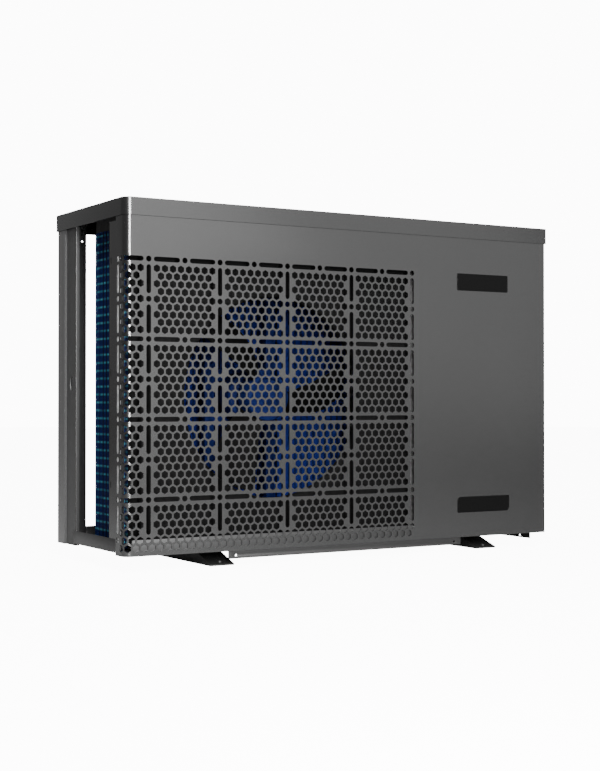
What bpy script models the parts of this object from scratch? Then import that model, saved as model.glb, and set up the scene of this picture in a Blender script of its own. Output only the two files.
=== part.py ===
"""Horizontal pool and spa heat pump: a folded sheet cabinet with a perforated front, an L-shaped
finned coil, an axial fan and a sealed compressor compartment.

Cabinet coordinates: x from the left side, y from the front face back, z up from the ground.
"""

import math

import bmesh
import bpy
from mathutils import Matrix, Vector

# Driving dimensions, metres.
WIDTH = 0.978  # cabinet, side to side
DEPTH = 0.326  # cabinet, front to back
HEIGHT = 0.678  # ground to the top of the lid
SHEET = 0.0015  # folded sheet metal
GAP = 0.0003  # between pieces that touch
PANEL_BOTTOM = 0.0285  # lower edge of the front panel
CORNER_RADIUS = 0.0142  # front-left corner
LID_SKIRT = 0.0326
LID_OVERHANG = 0.0025
UNION_REACH = 0.058  # how far the water unions stand out of the right side
SCREW_HEAD = 0.0022

# The grille is a lattice of cells, each nine hole pitches wide and high.
PITCH = 0.0162
CELL = 9 * PITCH
GRILLE_X = 0.0472  # first full column of slots, from the left side
GRILLE_Z = PANEL_BOTTOM + 3.696 * CELL  # top row of slots
GRILLE_COLUMNS = 4
GRILLE_ROWS = 3
HOLE_WIDTH = 0.77 * PITCH  # hexagon, across flats
SLOT_WIDTH = 0.55 * PITCH
SLOT_START = 0.615 * PITCH  # from the crossing of two slot lines
HALF_CELL = CELL / 2
ROW_PITCH = CELL / 10.4

BASE_BOTTOM = 0.033
BASE_TOP = 0.058  # upper edge of the tray's walls
FLOOR = BASE_BOTTOM + SHEET
SKIRT_BOTTOM = HEIGHT - LID_SKIRT
PANEL_TOP = HEIGHT - 0.006

RETURN_STEP = 0.0402  # the side return is full height up to here
RETURN_END = 0.069
FOLD_RADIUS = 0.002

FAN_X = 0.3352
FAN_Z = 0.3158
SHROUD_Y = 0.040
ORIFICE_RADIUS = 0.195
FAN_RADIUS = 0.186
HUB_RADIUS = 0.046
HUB_FRONT = 0.066
HUB_BACK = 0.106
BLADE_ANGLES = (125, 5, 245)
SHAFT_RADIUS = 0.006
MOTOR_FRONT = 0.122
MOTOR_BACK = 0.182

COIL_LEFT = 0.030  # outer face of the left arm
COIL_BACK = DEPTH - 0.025  # outer face of the rear arm
COIL_DEPTH = 0.040
COIL_BEND = 0.119
COIL_FRONT = 0.046
COIL_RIGHT = 0.640
COIL_TOP = 0.632

PARTITION_X = 0.648
COMPRESSOR_AT = (0.735, 0.105)
COMPRESSOR_RADIUS = 0.058
VESSEL_AT = (0.878, 0.205)
VESSEL_RADIUS = 0.072
UNION_Y = VESSEL_AT[1]
INLET_Z = 0.150
OUTLET_Z = 0.400

# Colour, roughness and metallic value of each finish.
FINISHES = {
    "cabinet_grey": ((0.115, 0.115, 0.118, 1), 0.42, 0.35),
    "base_grey": ((0.13, 0.13, 0.132, 1), 0.45, 0.3),
    "black_coat": ((0.012, 0.012, 0.013, 1), 0.45, 0.0),
    "dark_grey": ((0.035, 0.035, 0.037, 1), 0.5, 0.1),
    "black_plastic": ((0.01, 0.01, 0.011, 1), 0.4, 0.0),
    "fin_blue": ((0.012, 0.03, 0.16, 1), 0.38, 0.5),
    "zinc": ((0.5, 0.5, 0.5, 1), 0.35, 0.9),
    "steel": ((0.6, 0.6, 0.6, 1), 0.3, 1.0),
    "copper": ((0.72, 0.3, 0.16, 1), 0.3, 1.0),
    "brass": ((0.65, 0.45, 0.18, 1), 0.32, 1.0),
    "rubber": ((0.015, 0.015, 0.015, 1), 0.8, 0.0),
    "foam": ((0.02, 0.02, 0.02, 1), 0.95, 0.0),
    "aluminium": ((0.7, 0.7, 0.72, 1), 0.35, 1.0),
    "union_grey": ((0.07, 0.07, 0.075, 1), 0.45, 0.0),
    "gloss_black": ((0.006, 0.006, 0.006, 1), 0.15, 0.0),
}


def clear_scene():
    for old in list(bpy.data.objects):
        bpy.data.objects.remove(old, do_unlink=True)


def empty(name, place, parent=None):
    marker = bpy.data.objects.new(name, None)
    marker.location = place
    marker.parent = parent
    bpy.context.collection.objects.link(marker)
    return marker


def finish(name, kind):
    colour, roughness, metallic = FINISHES[kind]
    material = bpy.data.materials.new(name)
    material.use_nodes = True
    shader = material.node_tree.nodes["Principled BSDF"]
    shader.inputs["Base Color"].default_value = colour
    shader.inputs["Roughness"].default_value = roughness
    shader.inputs["Metallic"].default_value = metallic
    return material


def make_object(name, bm, place, parent):
    """An object from a bmesh, smooth except at its sharp edges."""
    bmesh.ops.recalc_face_normals(bm, faces=bm.faces)
    mesh = bpy.data.meshes.new(name)
    bm.to_mesh(mesh)
    bm.free()
    mesh.shade_smooth()
    mesh.set_sharp_from_angle(angle=math.radians(35))
    made = bpy.data.objects.new(name, mesh)
    made.location = place
    made.parent = parent
    bpy.context.collection.objects.link(made)
    return made


def piece(name, bm, kind, place=(0, 0, 0), parent=None, cut=(), fuse=()):
    """A sub-part, with bmesh shapes first cut from it and then fused to it by Booleans."""
    parent = parent or CABINET
    made = make_object(name, bm, place, parent)
    made.data.materials.append(finish(name, kind))
    shapes = [("DIFFERENCE", shape) for shape in cut] + [("UNION", shape) for shape in fuse]
    for number, (operation, shape) in enumerate(shapes):
        helper = make_object(f"{name}_{operation.lower()}_{number}", shape, place, parent)
        helper.hide_render = True
        helper.display_type = "WIRE"
        boolean = made.modifiers.new(helper.name, "BOOLEAN")
        boolean.operation = operation
        boolean.object = helper
    return made


def block(low, high):
    """A box between two corners."""
    bm = bmesh.new()
    low, high = Vector(low), Vector(high)
    bmesh.ops.create_cube(bm, size=1)
    bmesh.ops.scale(bm, vec=high - low, verts=bm.verts)
    bmesh.ops.translate(bm, vec=(low + high) / 2, verts=bm.verts)
    return bm


def prism(outline, axis, start, end):
    """An outline swept along an axis. Its points are (y, z), (x, z) or (x, y)."""
    bm = bmesh.new()
    corners = []
    for a, b in outline:
        places = {"x": (start, a, b), "y": (a, start, b), "z": (a, b, start)}
        corners.append(bm.verts.new(places[axis]))
    face = bm.faces.new(corners)
    grown = bmesh.ops.extrude_face_region(bm, geom=[face], use_keep_orig=True)
    moved = [item for item in grown["geom"] if isinstance(item, bmesh.types.BMVert)]
    along = Vector([float(axis == name) for name in "xyz"])
    bmesh.ops.translate(bm, vec=along * (end - start), verts=moved)
    return bm


def folded(path, thickness=SHEET):
    """The section of a folded sheet: a path, and the same path moved to its left by the thickness."""
    points = [Vector(point) for point in path]
    sides = []
    for first, second in zip(points, points[1:]):
        along = (second - first).normalized()
        sides.append(Vector((-along.y, along.x)))
    inner = []
    for index, point in enumerate(points):
        before = sides[max(index - 1, 0)]
        after = sides[min(index, len(sides) - 1)]
        mitre = (before + after).normalized()
        inner.append(point + mitre * (thickness / mitre.dot(after)))
    return [tuple(point) for point in points] + [tuple(point) for point in reversed(inner)]


def turn_to(bm, axis):
    """Turns a shape made along Z so that it lies along another axis."""
    turns = {"z": (0, "X"), "y": (math.radians(-90), "X"), "x": (math.radians(90), "Y")}
    angle, about = turns[axis]
    bmesh.ops.rotate(bm, cent=(0, 0, 0), matrix=Matrix.Rotation(angle, 3, about), verts=bm.verts)
    return bm


def turned(profile, axis="z", steps=24, closed=False, centre=(0, 0, 0)):
    """A profile of (radius, height) points spun round an axis."""
    bm = bmesh.new()
    verts = [bm.verts.new((radius, 0, height)) for radius, height in profile]
    pairs = list(zip(verts, verts[1:]))
    if closed:
        pairs.append((verts[-1], verts[0]))
    edges = [bm.edges.new(pair) for pair in pairs]
    bmesh.ops.spin(
        bm, geom=verts + edges, cent=(0, 0, 0), axis=(0, 0, 1), angle=2 * math.pi, steps=steps, use_merge=True
    )
    bmesh.ops.remove_doubles(bm, verts=bm.verts, dist=1e-6)
    turn_to(bm, axis)
    bmesh.ops.translate(bm, vec=centre, verts=bm.verts)
    return bm


def rod(radius, start, end, axis="z", steps=16, centre=(0, 0, 0)):
    """A plain cylinder between two heights along its axis."""
    return turned([(0, start), (radius, start), (radius, end), (0, end)], axis, steps, centre=centre)


def arc(centre, radius, start, end, steps):
    """Points on an arc, angles in degrees."""
    points = []
    for step in range(steps + 1):
        angle = math.radians(start + (end - start) * step / steps)
        points.append((centre[0] + radius * math.cos(angle), centre[1] + radius * math.sin(angle)))
    return points


def rounded_box(low, high, radii, steps=3):
    """An outline with four rounded corners: low-low, high-low, high-high, low-high."""
    corners = [(low[0], low[1]), (high[0], low[1]), (high[0], high[1]), (low[0], high[1])]
    inward = [(1, 1), (-1, 1), (-1, -1), (1, -1)]
    points = []
    for number, (corner, side, radius) in enumerate(zip(corners, inward, radii)):
        if radius == 0:
            points.append(corner)
            continue
        centre = (corner[0] + side[0] * radius, corner[1] + side[1] * radius)
        points += arc(centre, radius, 180 + 90 * number, 270 + 90 * number, steps)
    return points


def pipe(name, route, radius, kind="copper", bend=0.014):
    """A tube along a route whose corners are rounded."""
    points = [Vector(route[0])]
    for before, corner, after in zip(route, route[1:], route[2:]):
        corner = Vector(corner)
        start = corner + (Vector(before) - corner).normalized() * bend
        end = corner + (Vector(after) - corner).normalized() * bend
        for step in range(4):
            t = step / 3
            points.append(start * (1 - t) ** 2 + corner * 2 * t * (1 - t) + end * t**2)
    points.append(Vector(route[-1]))
    curve = bpy.data.curves.new(name, "CURVE")
    curve.dimensions = "3D"
    curve.bevel_depth = radius
    curve.bevel_resolution = 2
    curve.use_fill_caps = True
    spline = curve.splines.new("POLY")
    spline.points.add(len(points) - 1)
    for spot, point in zip(spline.points, points):
        spot.co = (*point, 1)
    made = bpy.data.objects.new(name, curve)
    made.parent = CABINET
    made.data.materials.append(finish(name, kind))
    bpy.context.collection.objects.link(made)
    return made


# Cabinet sheets


def cabinet_outline(grow):
    """The cabinet seen from above, grown outwards, with its round front-left corner."""
    low = (-grow, -grow)
    high = (WIDTH + grow, DEPTH + grow)
    return rounded_box(low, high, (CORNER_RADIUS + grow, 0, 0, 0), steps=6)


def lid():
    outside = prism(cabinet_outline(LID_OVERHANG), "z", SKIRT_BOTTOM, HEIGHT)
    hollow = prism(cabinet_outline(LID_OVERHANG - SHEET), "z", SKIRT_BOTTOM - SHEET, HEIGHT - SHEET)
    piece("lid", outside, "cabinet_grey", cut=[hollow])


def grille_holes():
    """Slots as (left, right, bottom, top), x measured along the unfolded front panel."""
    holes = []
    half = SLOT_WIDTH / 2
    left = GRILLE_X - HALF_CELL
    slots_across = 2 * GRILLE_COLUMNS + 1
    for row in range(GRILLE_ROWS + 1):
        z = GRILLE_Z - row * CELL
        for number in range(slots_across):
            x = left + number * HALF_CELL
            holes.append((x + SLOT_START, x + HALF_CELL - SLOT_START, z - half, z + half))
    columns = [left] + [GRILLE_X + column * CELL for column in range(GRILLE_COLUMNS + 1)]
    for x in columns:
        for number in range(2 * GRILLE_ROWS + 1):
            z = GRILLE_Z - number * HALF_CELL
            bottom = max(z - HALF_CELL + SLOT_START, BASE_TOP)
            holes.append((x - half, x + half, bottom, z - SLOT_START))
    return holes + hexagon_rows(columns)


def hexagon_rows(columns):
    """Every other row of hexagons in a cell, each row joined into one long opening."""
    holes = []
    half = HOLE_WIDTH / 2
    for left, right in zip(columns, columns[1:]):
        for cell in range(GRILLE_ROWS + 1):
            rows = 3 if cell == GRILLE_ROWS else 5
            for number in range(rows):
                drop = (1.2 + 2 * number) * ROW_PITCH
                z = GRILLE_Z - cell * CELL - drop
                bottom = max(z - half, BASE_TOP)
                if z + half - bottom > half:
                    inset = PITCH - half
                    end = right - inset if right - left > HALF_CELL + PITCH else right - PITCH - inset
                    holes.append((left + inset, end, bottom, z + half))
    return holes


def wrap(s, t):
    """Where the unfolded front panel's point s, at depth t in the sheet, lies in plan."""
    corner_length = CORNER_RADIUS * math.pi / 2
    fold_start = WIDTH - FOLD_RADIUS
    fold_length = FOLD_RADIUS * math.pi / 2
    if s < CORNER_RADIUS - corner_length:
        return t, 2 * CORNER_RADIUS - corner_length - s
    if s < CORNER_RADIUS:
        angle = (CORNER_RADIUS - s) / CORNER_RADIUS
        radius = CORNER_RADIUS - t
        return CORNER_RADIUS - radius * math.sin(angle), CORNER_RADIUS - radius * math.cos(angle)
    if s < fold_start:
        return s, t
    if s < fold_start + fold_length:
        angle = (s - fold_start) / FOLD_RADIUS
        radius = FOLD_RADIUS - t
        return fold_start + radius * math.sin(angle), FOLD_RADIUS - radius * math.cos(angle)
    return WIDTH - t, FOLD_RADIUS + s - fold_start - fold_length


def flat_panel(outline, holes):
    """The unfolded front panel as a flat sheet with its openings."""
    bm = bmesh.new()
    loops = [outline]
    for left, right, bottom, top in holes:
        loops.append([(left, bottom), (right, bottom), (right, top), (left, top)])
    for loop in loops:
        verts = [bm.verts.new((s, 0, z)) for s, z in loop]
        for first, second in zip(verts, verts[1:] + verts[:1]):
            bm.edges.new((first, second))
    bmesh.ops.triangle_fill(bm, edges=bm.edges, use_beauty=True)
    return bm


def front_panel():
    side_start = CORNER_RADIUS * (1 - math.pi / 2)
    step_s = side_start + CORNER_RADIUS - RETURN_STEP
    end_s = side_start + CORNER_RADIUS - RETURN_END
    fold_start = WIDTH - FOLD_RADIUS
    fold_end = fold_start + FOLD_RADIUS * math.pi / 2
    right_s = fold_end + 0.013
    notch_top = SKIRT_BOTTOM - 0.0075
    outline = [
        (end_s, BASE_TOP + GAP),
        (step_s, BASE_TOP + GAP),
        (step_s, PANEL_BOTTOM),
        (right_s, PANEL_BOTTOM),
        (right_s, PANEL_TOP),
        (step_s, PANEL_TOP),
        (step_s, notch_top),
        (end_s, notch_top),
    ]
    bm = flat_panel(outline, grille_holes())
    corner_steps = 4
    corner_step = (CORNER_RADIUS - side_start) / corner_steps
    cuts = [side_start + corner_step * step for step in range(corner_steps + 1)]
    for s in cuts + [fold_start, fold_end]:
        geometry = bm.verts[:] + bm.edges[:] + bm.faces[:]
        bmesh.ops.bisect_plane(bm, geom=geometry, plane_co=(s, 0, 0), plane_no=(1, 0, 0), dist=1e-6)
    bmesh.ops.triangulate(bm, faces=bm.faces)
    bmesh.ops.recalc_face_normals(bm, faces=bm.faces)
    grown = bmesh.ops.extrude_face_region(bm, geom=bm.faces[:], use_keep_orig=True)
    for item in grown["geom"]:
        if isinstance(item, bmesh.types.BMVert):
            item.co.y = SHEET
    for vert in bm.verts:
        vert.co.x, vert.co.y = wrap(vert.co.x, vert.co.y)
    piece("front_panel", bm, "cabinet_grey")


def right_side_panel():
    """A flat sheet with holes for the two unions and the cable gland."""
    low = (WIDTH - SHEET, 0.0155, PANEL_BOTTOM)
    high = (WIDTH, DEPTH - 0.0155, PANEL_TOP)
    holes = []
    for z in (INLET_Z, OUTLET_Z):
        holes.append(rod(0.034, -0.01, 0.01, "x", 24, centre=(WIDTH, UNION_Y, z)))
    holes.append(rod(0.0105, -0.01, 0.01, "x", 16, centre=(WIDTH, 0.090, 0.470)))
    piece("right_side_panel", block(low, high), "cabinet_grey", cut=holes)


def rear_panel():
    """Closes the compressor side at the back and wraps round the corner; louvred."""
    left = COIL_RIGHT + 0.006
    path = [(WIDTH, DEPTH - 0.015), (WIDTH, DEPTH), (left, DEPTH)]
    section = folded(path)
    louvres = []
    for row in range(8):
        z = 0.200 + row * 0.022
        louvres.append(block((0.730, DEPTH - 0.01, z), (0.890, DEPTH + 0.01, z + 0.007)))
    piece("rear_panel", prism(section, "z", BASE_TOP + GAP, PANEL_TOP), "cabinet_grey", cut=louvres)


def rear_left_post():
    """A folded corner post: rear flange, side face, and a recessed strip with a hand slot."""
    path = [
        (0.060, DEPTH),
        (0, DEPTH),
        (0, 0.2896),
        (0.004, 0.2860),
        (0.004, 0.2420),
        (0.012, 0.2420),
    ]
    section = folded(path)
    slot_z = GRILLE_Z - 1.545 * CELL
    slot = block((-0.01, 0.249, slot_z - 0.015), (0.02, 0.270, slot_z + 0.015))
    screw_hole = rod(0.0019, -0.01, 0.01, "y", 10, centre=(0.0514, DEPTH, 0.6295))
    post = prism(section, "z", PANEL_BOTTOM, PANEL_TOP)
    piece("rear_left_post", post, "cabinet_grey", cut=[slot, screw_hole])


def rear_top_rail():
    """Ties the corner post to the rear panel above the coil."""
    low = 0.6435
    path = [(DEPTH - 0.016, PANEL_TOP), (DEPTH, PANEL_TOP), (DEPTH, low), (DEPTH - 0.010, low)]
    section = folded(path[::-1])
    piece("rear_top_rail", prism(section, "x", 0.0603, COIL_RIGHT + 0.0057), "black_coat")


def base_pan():
    """The tray that everything stands on, with walls round it and a drain hole."""
    post_edge = 0.2415
    inner_left = 0.0135
    corner = 0.0165
    rail_start = 0.0605
    clear = 0.002
    side = SHEET + GAP
    right = WIDTH - side
    step = RETURN_STEP + GAP
    outside = [
        (corner, side),
        (right, side),
        (right, DEPTH),
        (rail_start, DEPTH),
        (rail_start, DEPTH - side),
        (inner_left, DEPTH - side),
        (inner_left, post_edge),
        (0, post_edge),
        (0, step),
        (side, step),
        (side, corner),
    ]
    inside = [
        (-clear, side + SHEET),
        (right - SHEET, side + SHEET),
        (right - SHEET, DEPTH - SHEET),
        (rail_start - clear, DEPTH - SHEET),
        (rail_start - clear, DEPTH + clear),
        (-clear, DEPTH + clear),
        (-clear, post_edge + clear),
        (SHEET, post_edge + clear),
        (SHEET, step - clear),
        (-clear, step - clear),
    ]
    tray = prism(outside, "z", BASE_BOTTOM, BASE_TOP)
    hollow = prism(inside, "z", FLOOR, BASE_TOP + clear)
    drain = rod(0.011, -0.01, 0.01, "z", 16, centre=(FAN_X, 0.200, BASE_BOTTOM))
    piece("base_pan", tray, "base_grey", cut=[hollow, drain])


def foot(name, left):
    """A steel channel under the tray, with a ramp at each end and open below."""
    width = 0.051
    wall = 0.0025
    top = BASE_BOTTOM - GAP
    toe = 0.018
    toe_height = 0.003
    ramp = 0.088
    heel = DEPTH - toe
    outline = [
        (toe, 0),
        (heel, 0),
        (heel, toe_height),
        (heel - ramp, top),
        (toe + ramp, top),
        (toe, toe_height),
    ]
    inside = [
        (toe + 0.020, -wall),
        (heel - 0.020, -wall),
        (heel - 0.020, toe_height),
        (heel - ramp, top - wall),
        (toe + ramp, top - wall),
        (toe + 0.020, toe_height),
    ]
    hollow = prism(inside, "x", left + wall, left + width - wall)
    bolt_hole = rod(0.005, -0.02, 0.02, "z", 12, centre=(left + width / 2, 0.027, 0))
    piece(name, prism(outline, "x", left, left + width), "black_coat", cut=[hollow, bolt_hole])


def front_rail():
    """An angle below the tray's front edge, with a hole near each end."""
    length = 0.544
    left = (WIDTH - length) / 2
    top = BASE_BOTTOM - GAP
    section = folded([(0.0115, 0.0125), (0.0115, top), (0.0265, top)], -SHEET)
    holes = []
    for x in (left + 0.0165, left + length - 0.0165):
        holes.append(rod(0.0022, -0.01, 0.01, "y", 12, centre=(x, 0.0115, 0.0188)))
    piece("front_rail", prism(section, "x", left, left + length), "base_grey", cut=holes)


def right_rail():
    """An angle below the tray's right edge, running front to back."""
    top = BASE_BOTTOM - GAP
    section = folded([(0.956, 0.0140), (0.956, top), (0.970, top)], -SHEET)
    hole = rod(0.0022, -0.01, 0.01, "x", 12, centre=(0.956, 0.0576, 0.0188))
    piece("right_rail", prism(section, "y", 0.0245, 0.3015), "black_coat", cut=[hole])


# Fan compartment


def mid_partition():
    """Separates the fan from the compressor, with a window for the heat sink and one for the coil's pipes."""
    front = 2 * SHEET + 2 * GAP
    back = DEPTH - SHEET - GAP
    cut_left = PARTITION_X - 0.01
    cut_right = PARTITION_X + 0.01
    sheet = block((PARTITION_X, front, FLOOR + GAP), (PARTITION_X + SHEET, back, PANEL_TOP))
    sink = block((cut_left, 0.055, 0.520), (cut_right, 0.135, 0.600))
    pipes = block((cut_left, COIL_BACK - 0.038, 0.060), (cut_right, COIL_BACK - 0.003, 0.610))
    piece("mid_partition", sheet, "zinc", cut=[sink, pipes])


def fan_shroud():
    """The plate behind the grille, with a rolled ring round the fan."""
    ring = 0.014
    low = (0.0455, SHROUD_Y, FLOOR + 0.0015)
    high = (PARTITION_X - GAP, SHROUD_Y + SHEET, PANEL_TOP)
    centre = (FAN_X, 0, FAN_Z)
    lip_radius = ORIFICE_RADIUS + 0.010
    lip = [
        (ORIFICE_RADIUS, SHROUD_Y + ring),
        (ORIFICE_RADIUS + SHEET, SHROUD_Y + ring),
        (ORIFICE_RADIUS + SHEET, SHROUD_Y + 0.006),
        (lip_radius + SHEET, SHROUD_Y + SHEET / 2),
        (lip_radius - SHEET, SHROUD_Y + SHEET / 2),
        (ORIFICE_RADIUS, SHROUD_Y + 0.005),
    ]
    opening = rod(lip_radius, SHROUD_Y - 0.01, SHROUD_Y + 0.01, "y", 36, centre=centre)
    ring_shape = turned(lip, "y", 36, closed=True, centre=centre)
    piece("fan_shroud", block(low, high), "dark_grey", cut=[opening], fuse=[ring_shape])


def motor_bracket():
    """A ladder from the tray to the top of the coil, whose two middle bars hold the motor."""
    back = MOTOR_BACK + GAP
    depth = 0.012
    half_width = 0.080
    inner = 0.060
    bar = 0.012
    low = FLOOR + GAP
    bar_height = 0.045
    ladder = block((FAN_X - half_width, back, low), (FAN_X + half_width, back + depth, PANEL_TOP))
    spans = [
        (low + 0.020, FAN_Z - bar_height - bar),
        (FAN_Z - bar_height + bar, FAN_Z + bar_height - bar),
        (FAN_Z + bar_height + bar, PANEL_TOP - 0.020),
    ]
    windows = []
    for bottom, top in spans:
        windows.append(block((FAN_X - inner, back - 0.01, bottom), (FAN_X + inner, back + depth + 0.01, top)))
    piece("motor_bracket", ladder, "zinc", cut=windows)


def fan_motor():
    """A sealed motor can with a nose that the shaft comes out of."""
    radius = 0.052
    nose = 0.019
    bore = SHAFT_RADIUS + GAP
    profile = [
        (0, MOTOR_FRONT + 0.030),
        (bore, MOTOR_FRONT + 0.030),
        (bore, MOTOR_FRONT),
        (nose, MOTOR_FRONT),
        (nose, MOTOR_FRONT + 0.008),
        (radius - 0.006, MOTOR_FRONT + 0.010),
        (radius, MOTOR_FRONT + 0.016),
        (radius, MOTOR_BACK - 0.006),
        (radius - 0.006, MOTOR_BACK),
        (0, MOTOR_BACK),
    ]
    piece("fan_motor", turned(profile, "y", 24), "black_coat", (FAN_X, 0, FAN_Z))


def blade(angle):
    """One swept fan blade, thick enough at the root to bury itself in the hub."""
    spans = 5
    chords = 4
    bm = bmesh.new()
    grids = []
    for face in (0, 1):
        grid = []
        for span in range(spans + 1):
            out = span / spans
            radius = HUB_RADIUS - 0.005 + (FAN_RADIUS - HUB_RADIUS + 0.005) * out
            chord = math.radians(66 - 6 * out)
            sweep = math.radians(26) * out**1.5
            row = []
            for step in range(chords + 1):
                along = step / chords
                turn = math.radians(angle) + sweep + chord * (along - 0.5)
                rise = 0.030 * (along - 0.5) * (1.15 - 0.35 * out)
                camber = 0.006 * math.sin(math.pi * along)
                thickness = 0.0028 - 0.0010 * out
                y = (HUB_FRONT + HUB_BACK) / 2 + rise - camber + face * thickness
                row.append(bm.verts.new((radius * math.cos(turn), y, radius * math.sin(turn))))
            grid.append(row)
        grids.append(grid)
    for grid in grids:
        for lower, upper in zip(grid, grid[1:]):
            for a, b, c, d in zip(lower, lower[1:], upper[1:], upper):
                bm.faces.new((a, b, c, d))
    rims = [rim(grid) for grid in grids]
    for a, b, c, d in zip(rims[0], rims[0][1:] + rims[0][:1], rims[1][1:] + rims[1][:1], rims[1]):
        bm.faces.new((a, b, c, d))
    return bm


def rim(grid):
    """The points round the edge of a grid, in order."""
    right = [row[-1] for row in grid[1:]]
    top = grid[-1][-2::-1]
    left = [row[0] for row in grid[-2:0:-1]]
    return grid[0] + right + top + left


def fan(axis):
    """Impeller, shaft and nut, which turn together about the motor's axis."""
    bore = SHAFT_RADIUS + GAP
    profile = [
        (bore, HUB_FRONT + 0.006),
        (HUB_RADIUS - 0.008, HUB_FRONT + 0.006),
        (HUB_RADIUS - 0.008, HUB_FRONT),
        (HUB_RADIUS - 0.003, HUB_FRONT),
        (HUB_RADIUS, HUB_FRONT + 0.004),
        (HUB_RADIUS, HUB_BACK),
        (HUB_RADIUS - 0.003, HUB_BACK),
        (HUB_RADIUS - 0.003, HUB_FRONT + 0.010),
        (0.016, HUB_FRONT + 0.010),
        (0.016, HUB_BACK - 0.006),
        (bore, HUB_BACK - 0.006),
    ]
    hub = turned(profile, "y", 24, closed=True)
    blades = [blade(angle) for angle in BLADE_ANGLES]
    piece("fan_impeller", hub, "black_plastic", parent=axis, fuse=blades)
    shaft_end = HUB_FRONT - 0.006
    piece("fan_shaft", rod(SHAFT_RADIUS, shaft_end, MOTOR_FRONT + 0.028, "y"), "steel", parent=axis)
    hole = rod(bore, HUB_FRONT - 0.01, HUB_FRONT + 0.01, "y", 16)
    solid_nut = rod(0.0105, HUB_FRONT - 0.001, HUB_FRONT + 0.0057, "y", 6)
    piece("fan_nut", solid_nut, "zinc", parent=axis, cut=[hole])


def coil_outline(inset, front, right):
    """The L-shaped coil seen from above, inset from its outer faces."""
    left = COIL_LEFT + inset
    back = COIL_BACK - inset
    inner_left = COIL_LEFT + COIL_DEPTH - inset
    inner_back = COIL_BACK - COIL_DEPTH + inset
    centre = (COIL_LEFT + COIL_BEND, COIL_BACK - COIL_BEND)
    outer = arc(centre, COIL_BEND - inset, 180, 90, 10)
    inner = arc(centre, COIL_BEND - COIL_DEPTH + inset, 90, 180, 10)
    return [(left, front), *outer, (right, back), (right, inner_back), *inner, (inner_left, front)]


def coil():
    bottom = FLOOR + 0.003
    fins = prism(coil_outline(0, COIL_FRONT, COIL_RIGHT), "z", bottom, COIL_TOP)
    piece("coil_fins", fins, "fin_blue")
    seal = prism(coil_outline(0.001, COIL_FRONT, COIL_RIGHT), "z", COIL_TOP + GAP, PANEL_TOP + 0.003)
    piece("coil_top_seal", seal, "foam")
    front_sheet = block(
        (COIL_LEFT - 0.003, COIL_FRONT - GAP - SHEET, bottom),
        (COIL_LEFT + COIL_DEPTH + 0.003, COIL_FRONT - GAP, COIL_TOP),
    )
    piece("coil_front_tube_sheet", front_sheet, "black_coat")
    rear_sheet = block(
        (COIL_RIGHT + GAP, COIL_BACK - COIL_DEPTH - 0.003, bottom),
        (COIL_RIGHT + GAP + SHEET, COIL_BACK + 0.003, COIL_TOP),
    )
    piece("coil_rear_tube_sheet", rear_sheet, "zinc")
    header_at = (PARTITION_X + 0.022, COIL_BACK - 0.020, 0)
    header = rod(0.009, 0.090, 0.585, steps=12, centre=header_at)
    stubs = []
    for number in range(6):
        z = 0.120 + number * 0.085
        stubs.append(
            rod(0.0045, COIL_RIGHT + 2 * GAP + SHEET, header_at[0], "x", 8, centre=(0, header_at[1], z))
        )
    piece("coil_header", header, "copper", fuse=stubs)


# Compressor compartment


def compressor():
    x, y = COMPRESSOR_AT
    base = 0.0485
    height = 0.250
    radius = COMPRESSOR_RADIUS
    profile = [
        (0, base),
        (radius - 0.012, base),
        (radius, base + 0.016),
        (radius, base + height - 0.030),
        (radius - 0.014, base + height - 0.012),
        (0.022, base + height),
        (0, base + height),
    ]
    plate = rod(0.078, base - 0.003, base + 0.001, steps=3)
    piece("compressor", turned(profile), "black_coat", (x, y, 0), fuse=[plate])
    for number in range(3):
        angle = math.radians(120 * number)
        place = (x + 0.060 * math.cos(angle), y + 0.060 * math.sin(angle), 0)
        low = FLOOR + GAP
        high = base - 0.003 - GAP
        profile = [(0, low), (0.011, low), (0.008, (low + high) / 2), (0.011, high), (0, high)]
        piece(f"compressor_mount_{number + 1}", turned(profile, steps=12), "rubber", place)


def accumulator():
    """The suction accumulator strapped beside the compressor."""
    base = 0.090
    top = 0.250
    radius = 0.026
    profile = [
        (0, base - 0.008),
        (0.008, base - 0.008),
        (radius, base + 0.010),
        (radius, top - 0.010),
        (0.009, top + 0.006),
        (0, top + 0.006),
    ]
    piece("accumulator", turned(profile, steps=16), "black_coat", (0.716, 0.200, 0))


def heat_exchanger():
    """The titanium coil's plastic vessel, with a water port near each end."""
    x, y = VESSEL_AT
    low = FLOOR + GAP
    high = 0.490
    radius = VESSEL_RADIUS
    profile = [
        (0, low),
        (radius - 0.004, low),
        (radius, low + 0.010),
        (radius, high - 0.040),
        (radius - 0.020, high - 0.010),
        (0.030, high),
        (0, high),
    ]
    ports = []
    for z in (INLET_Z, OUTLET_Z):
        ports.append(rod(0.027, VESSEL_RADIUS - 0.015, WIDTH - x - 0.006, "x", 16, centre=(0, 0, z)))
    piece("heat_exchanger", turned(profile), "black_plastic", (x, y, 0), fuse=ports)


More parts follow.
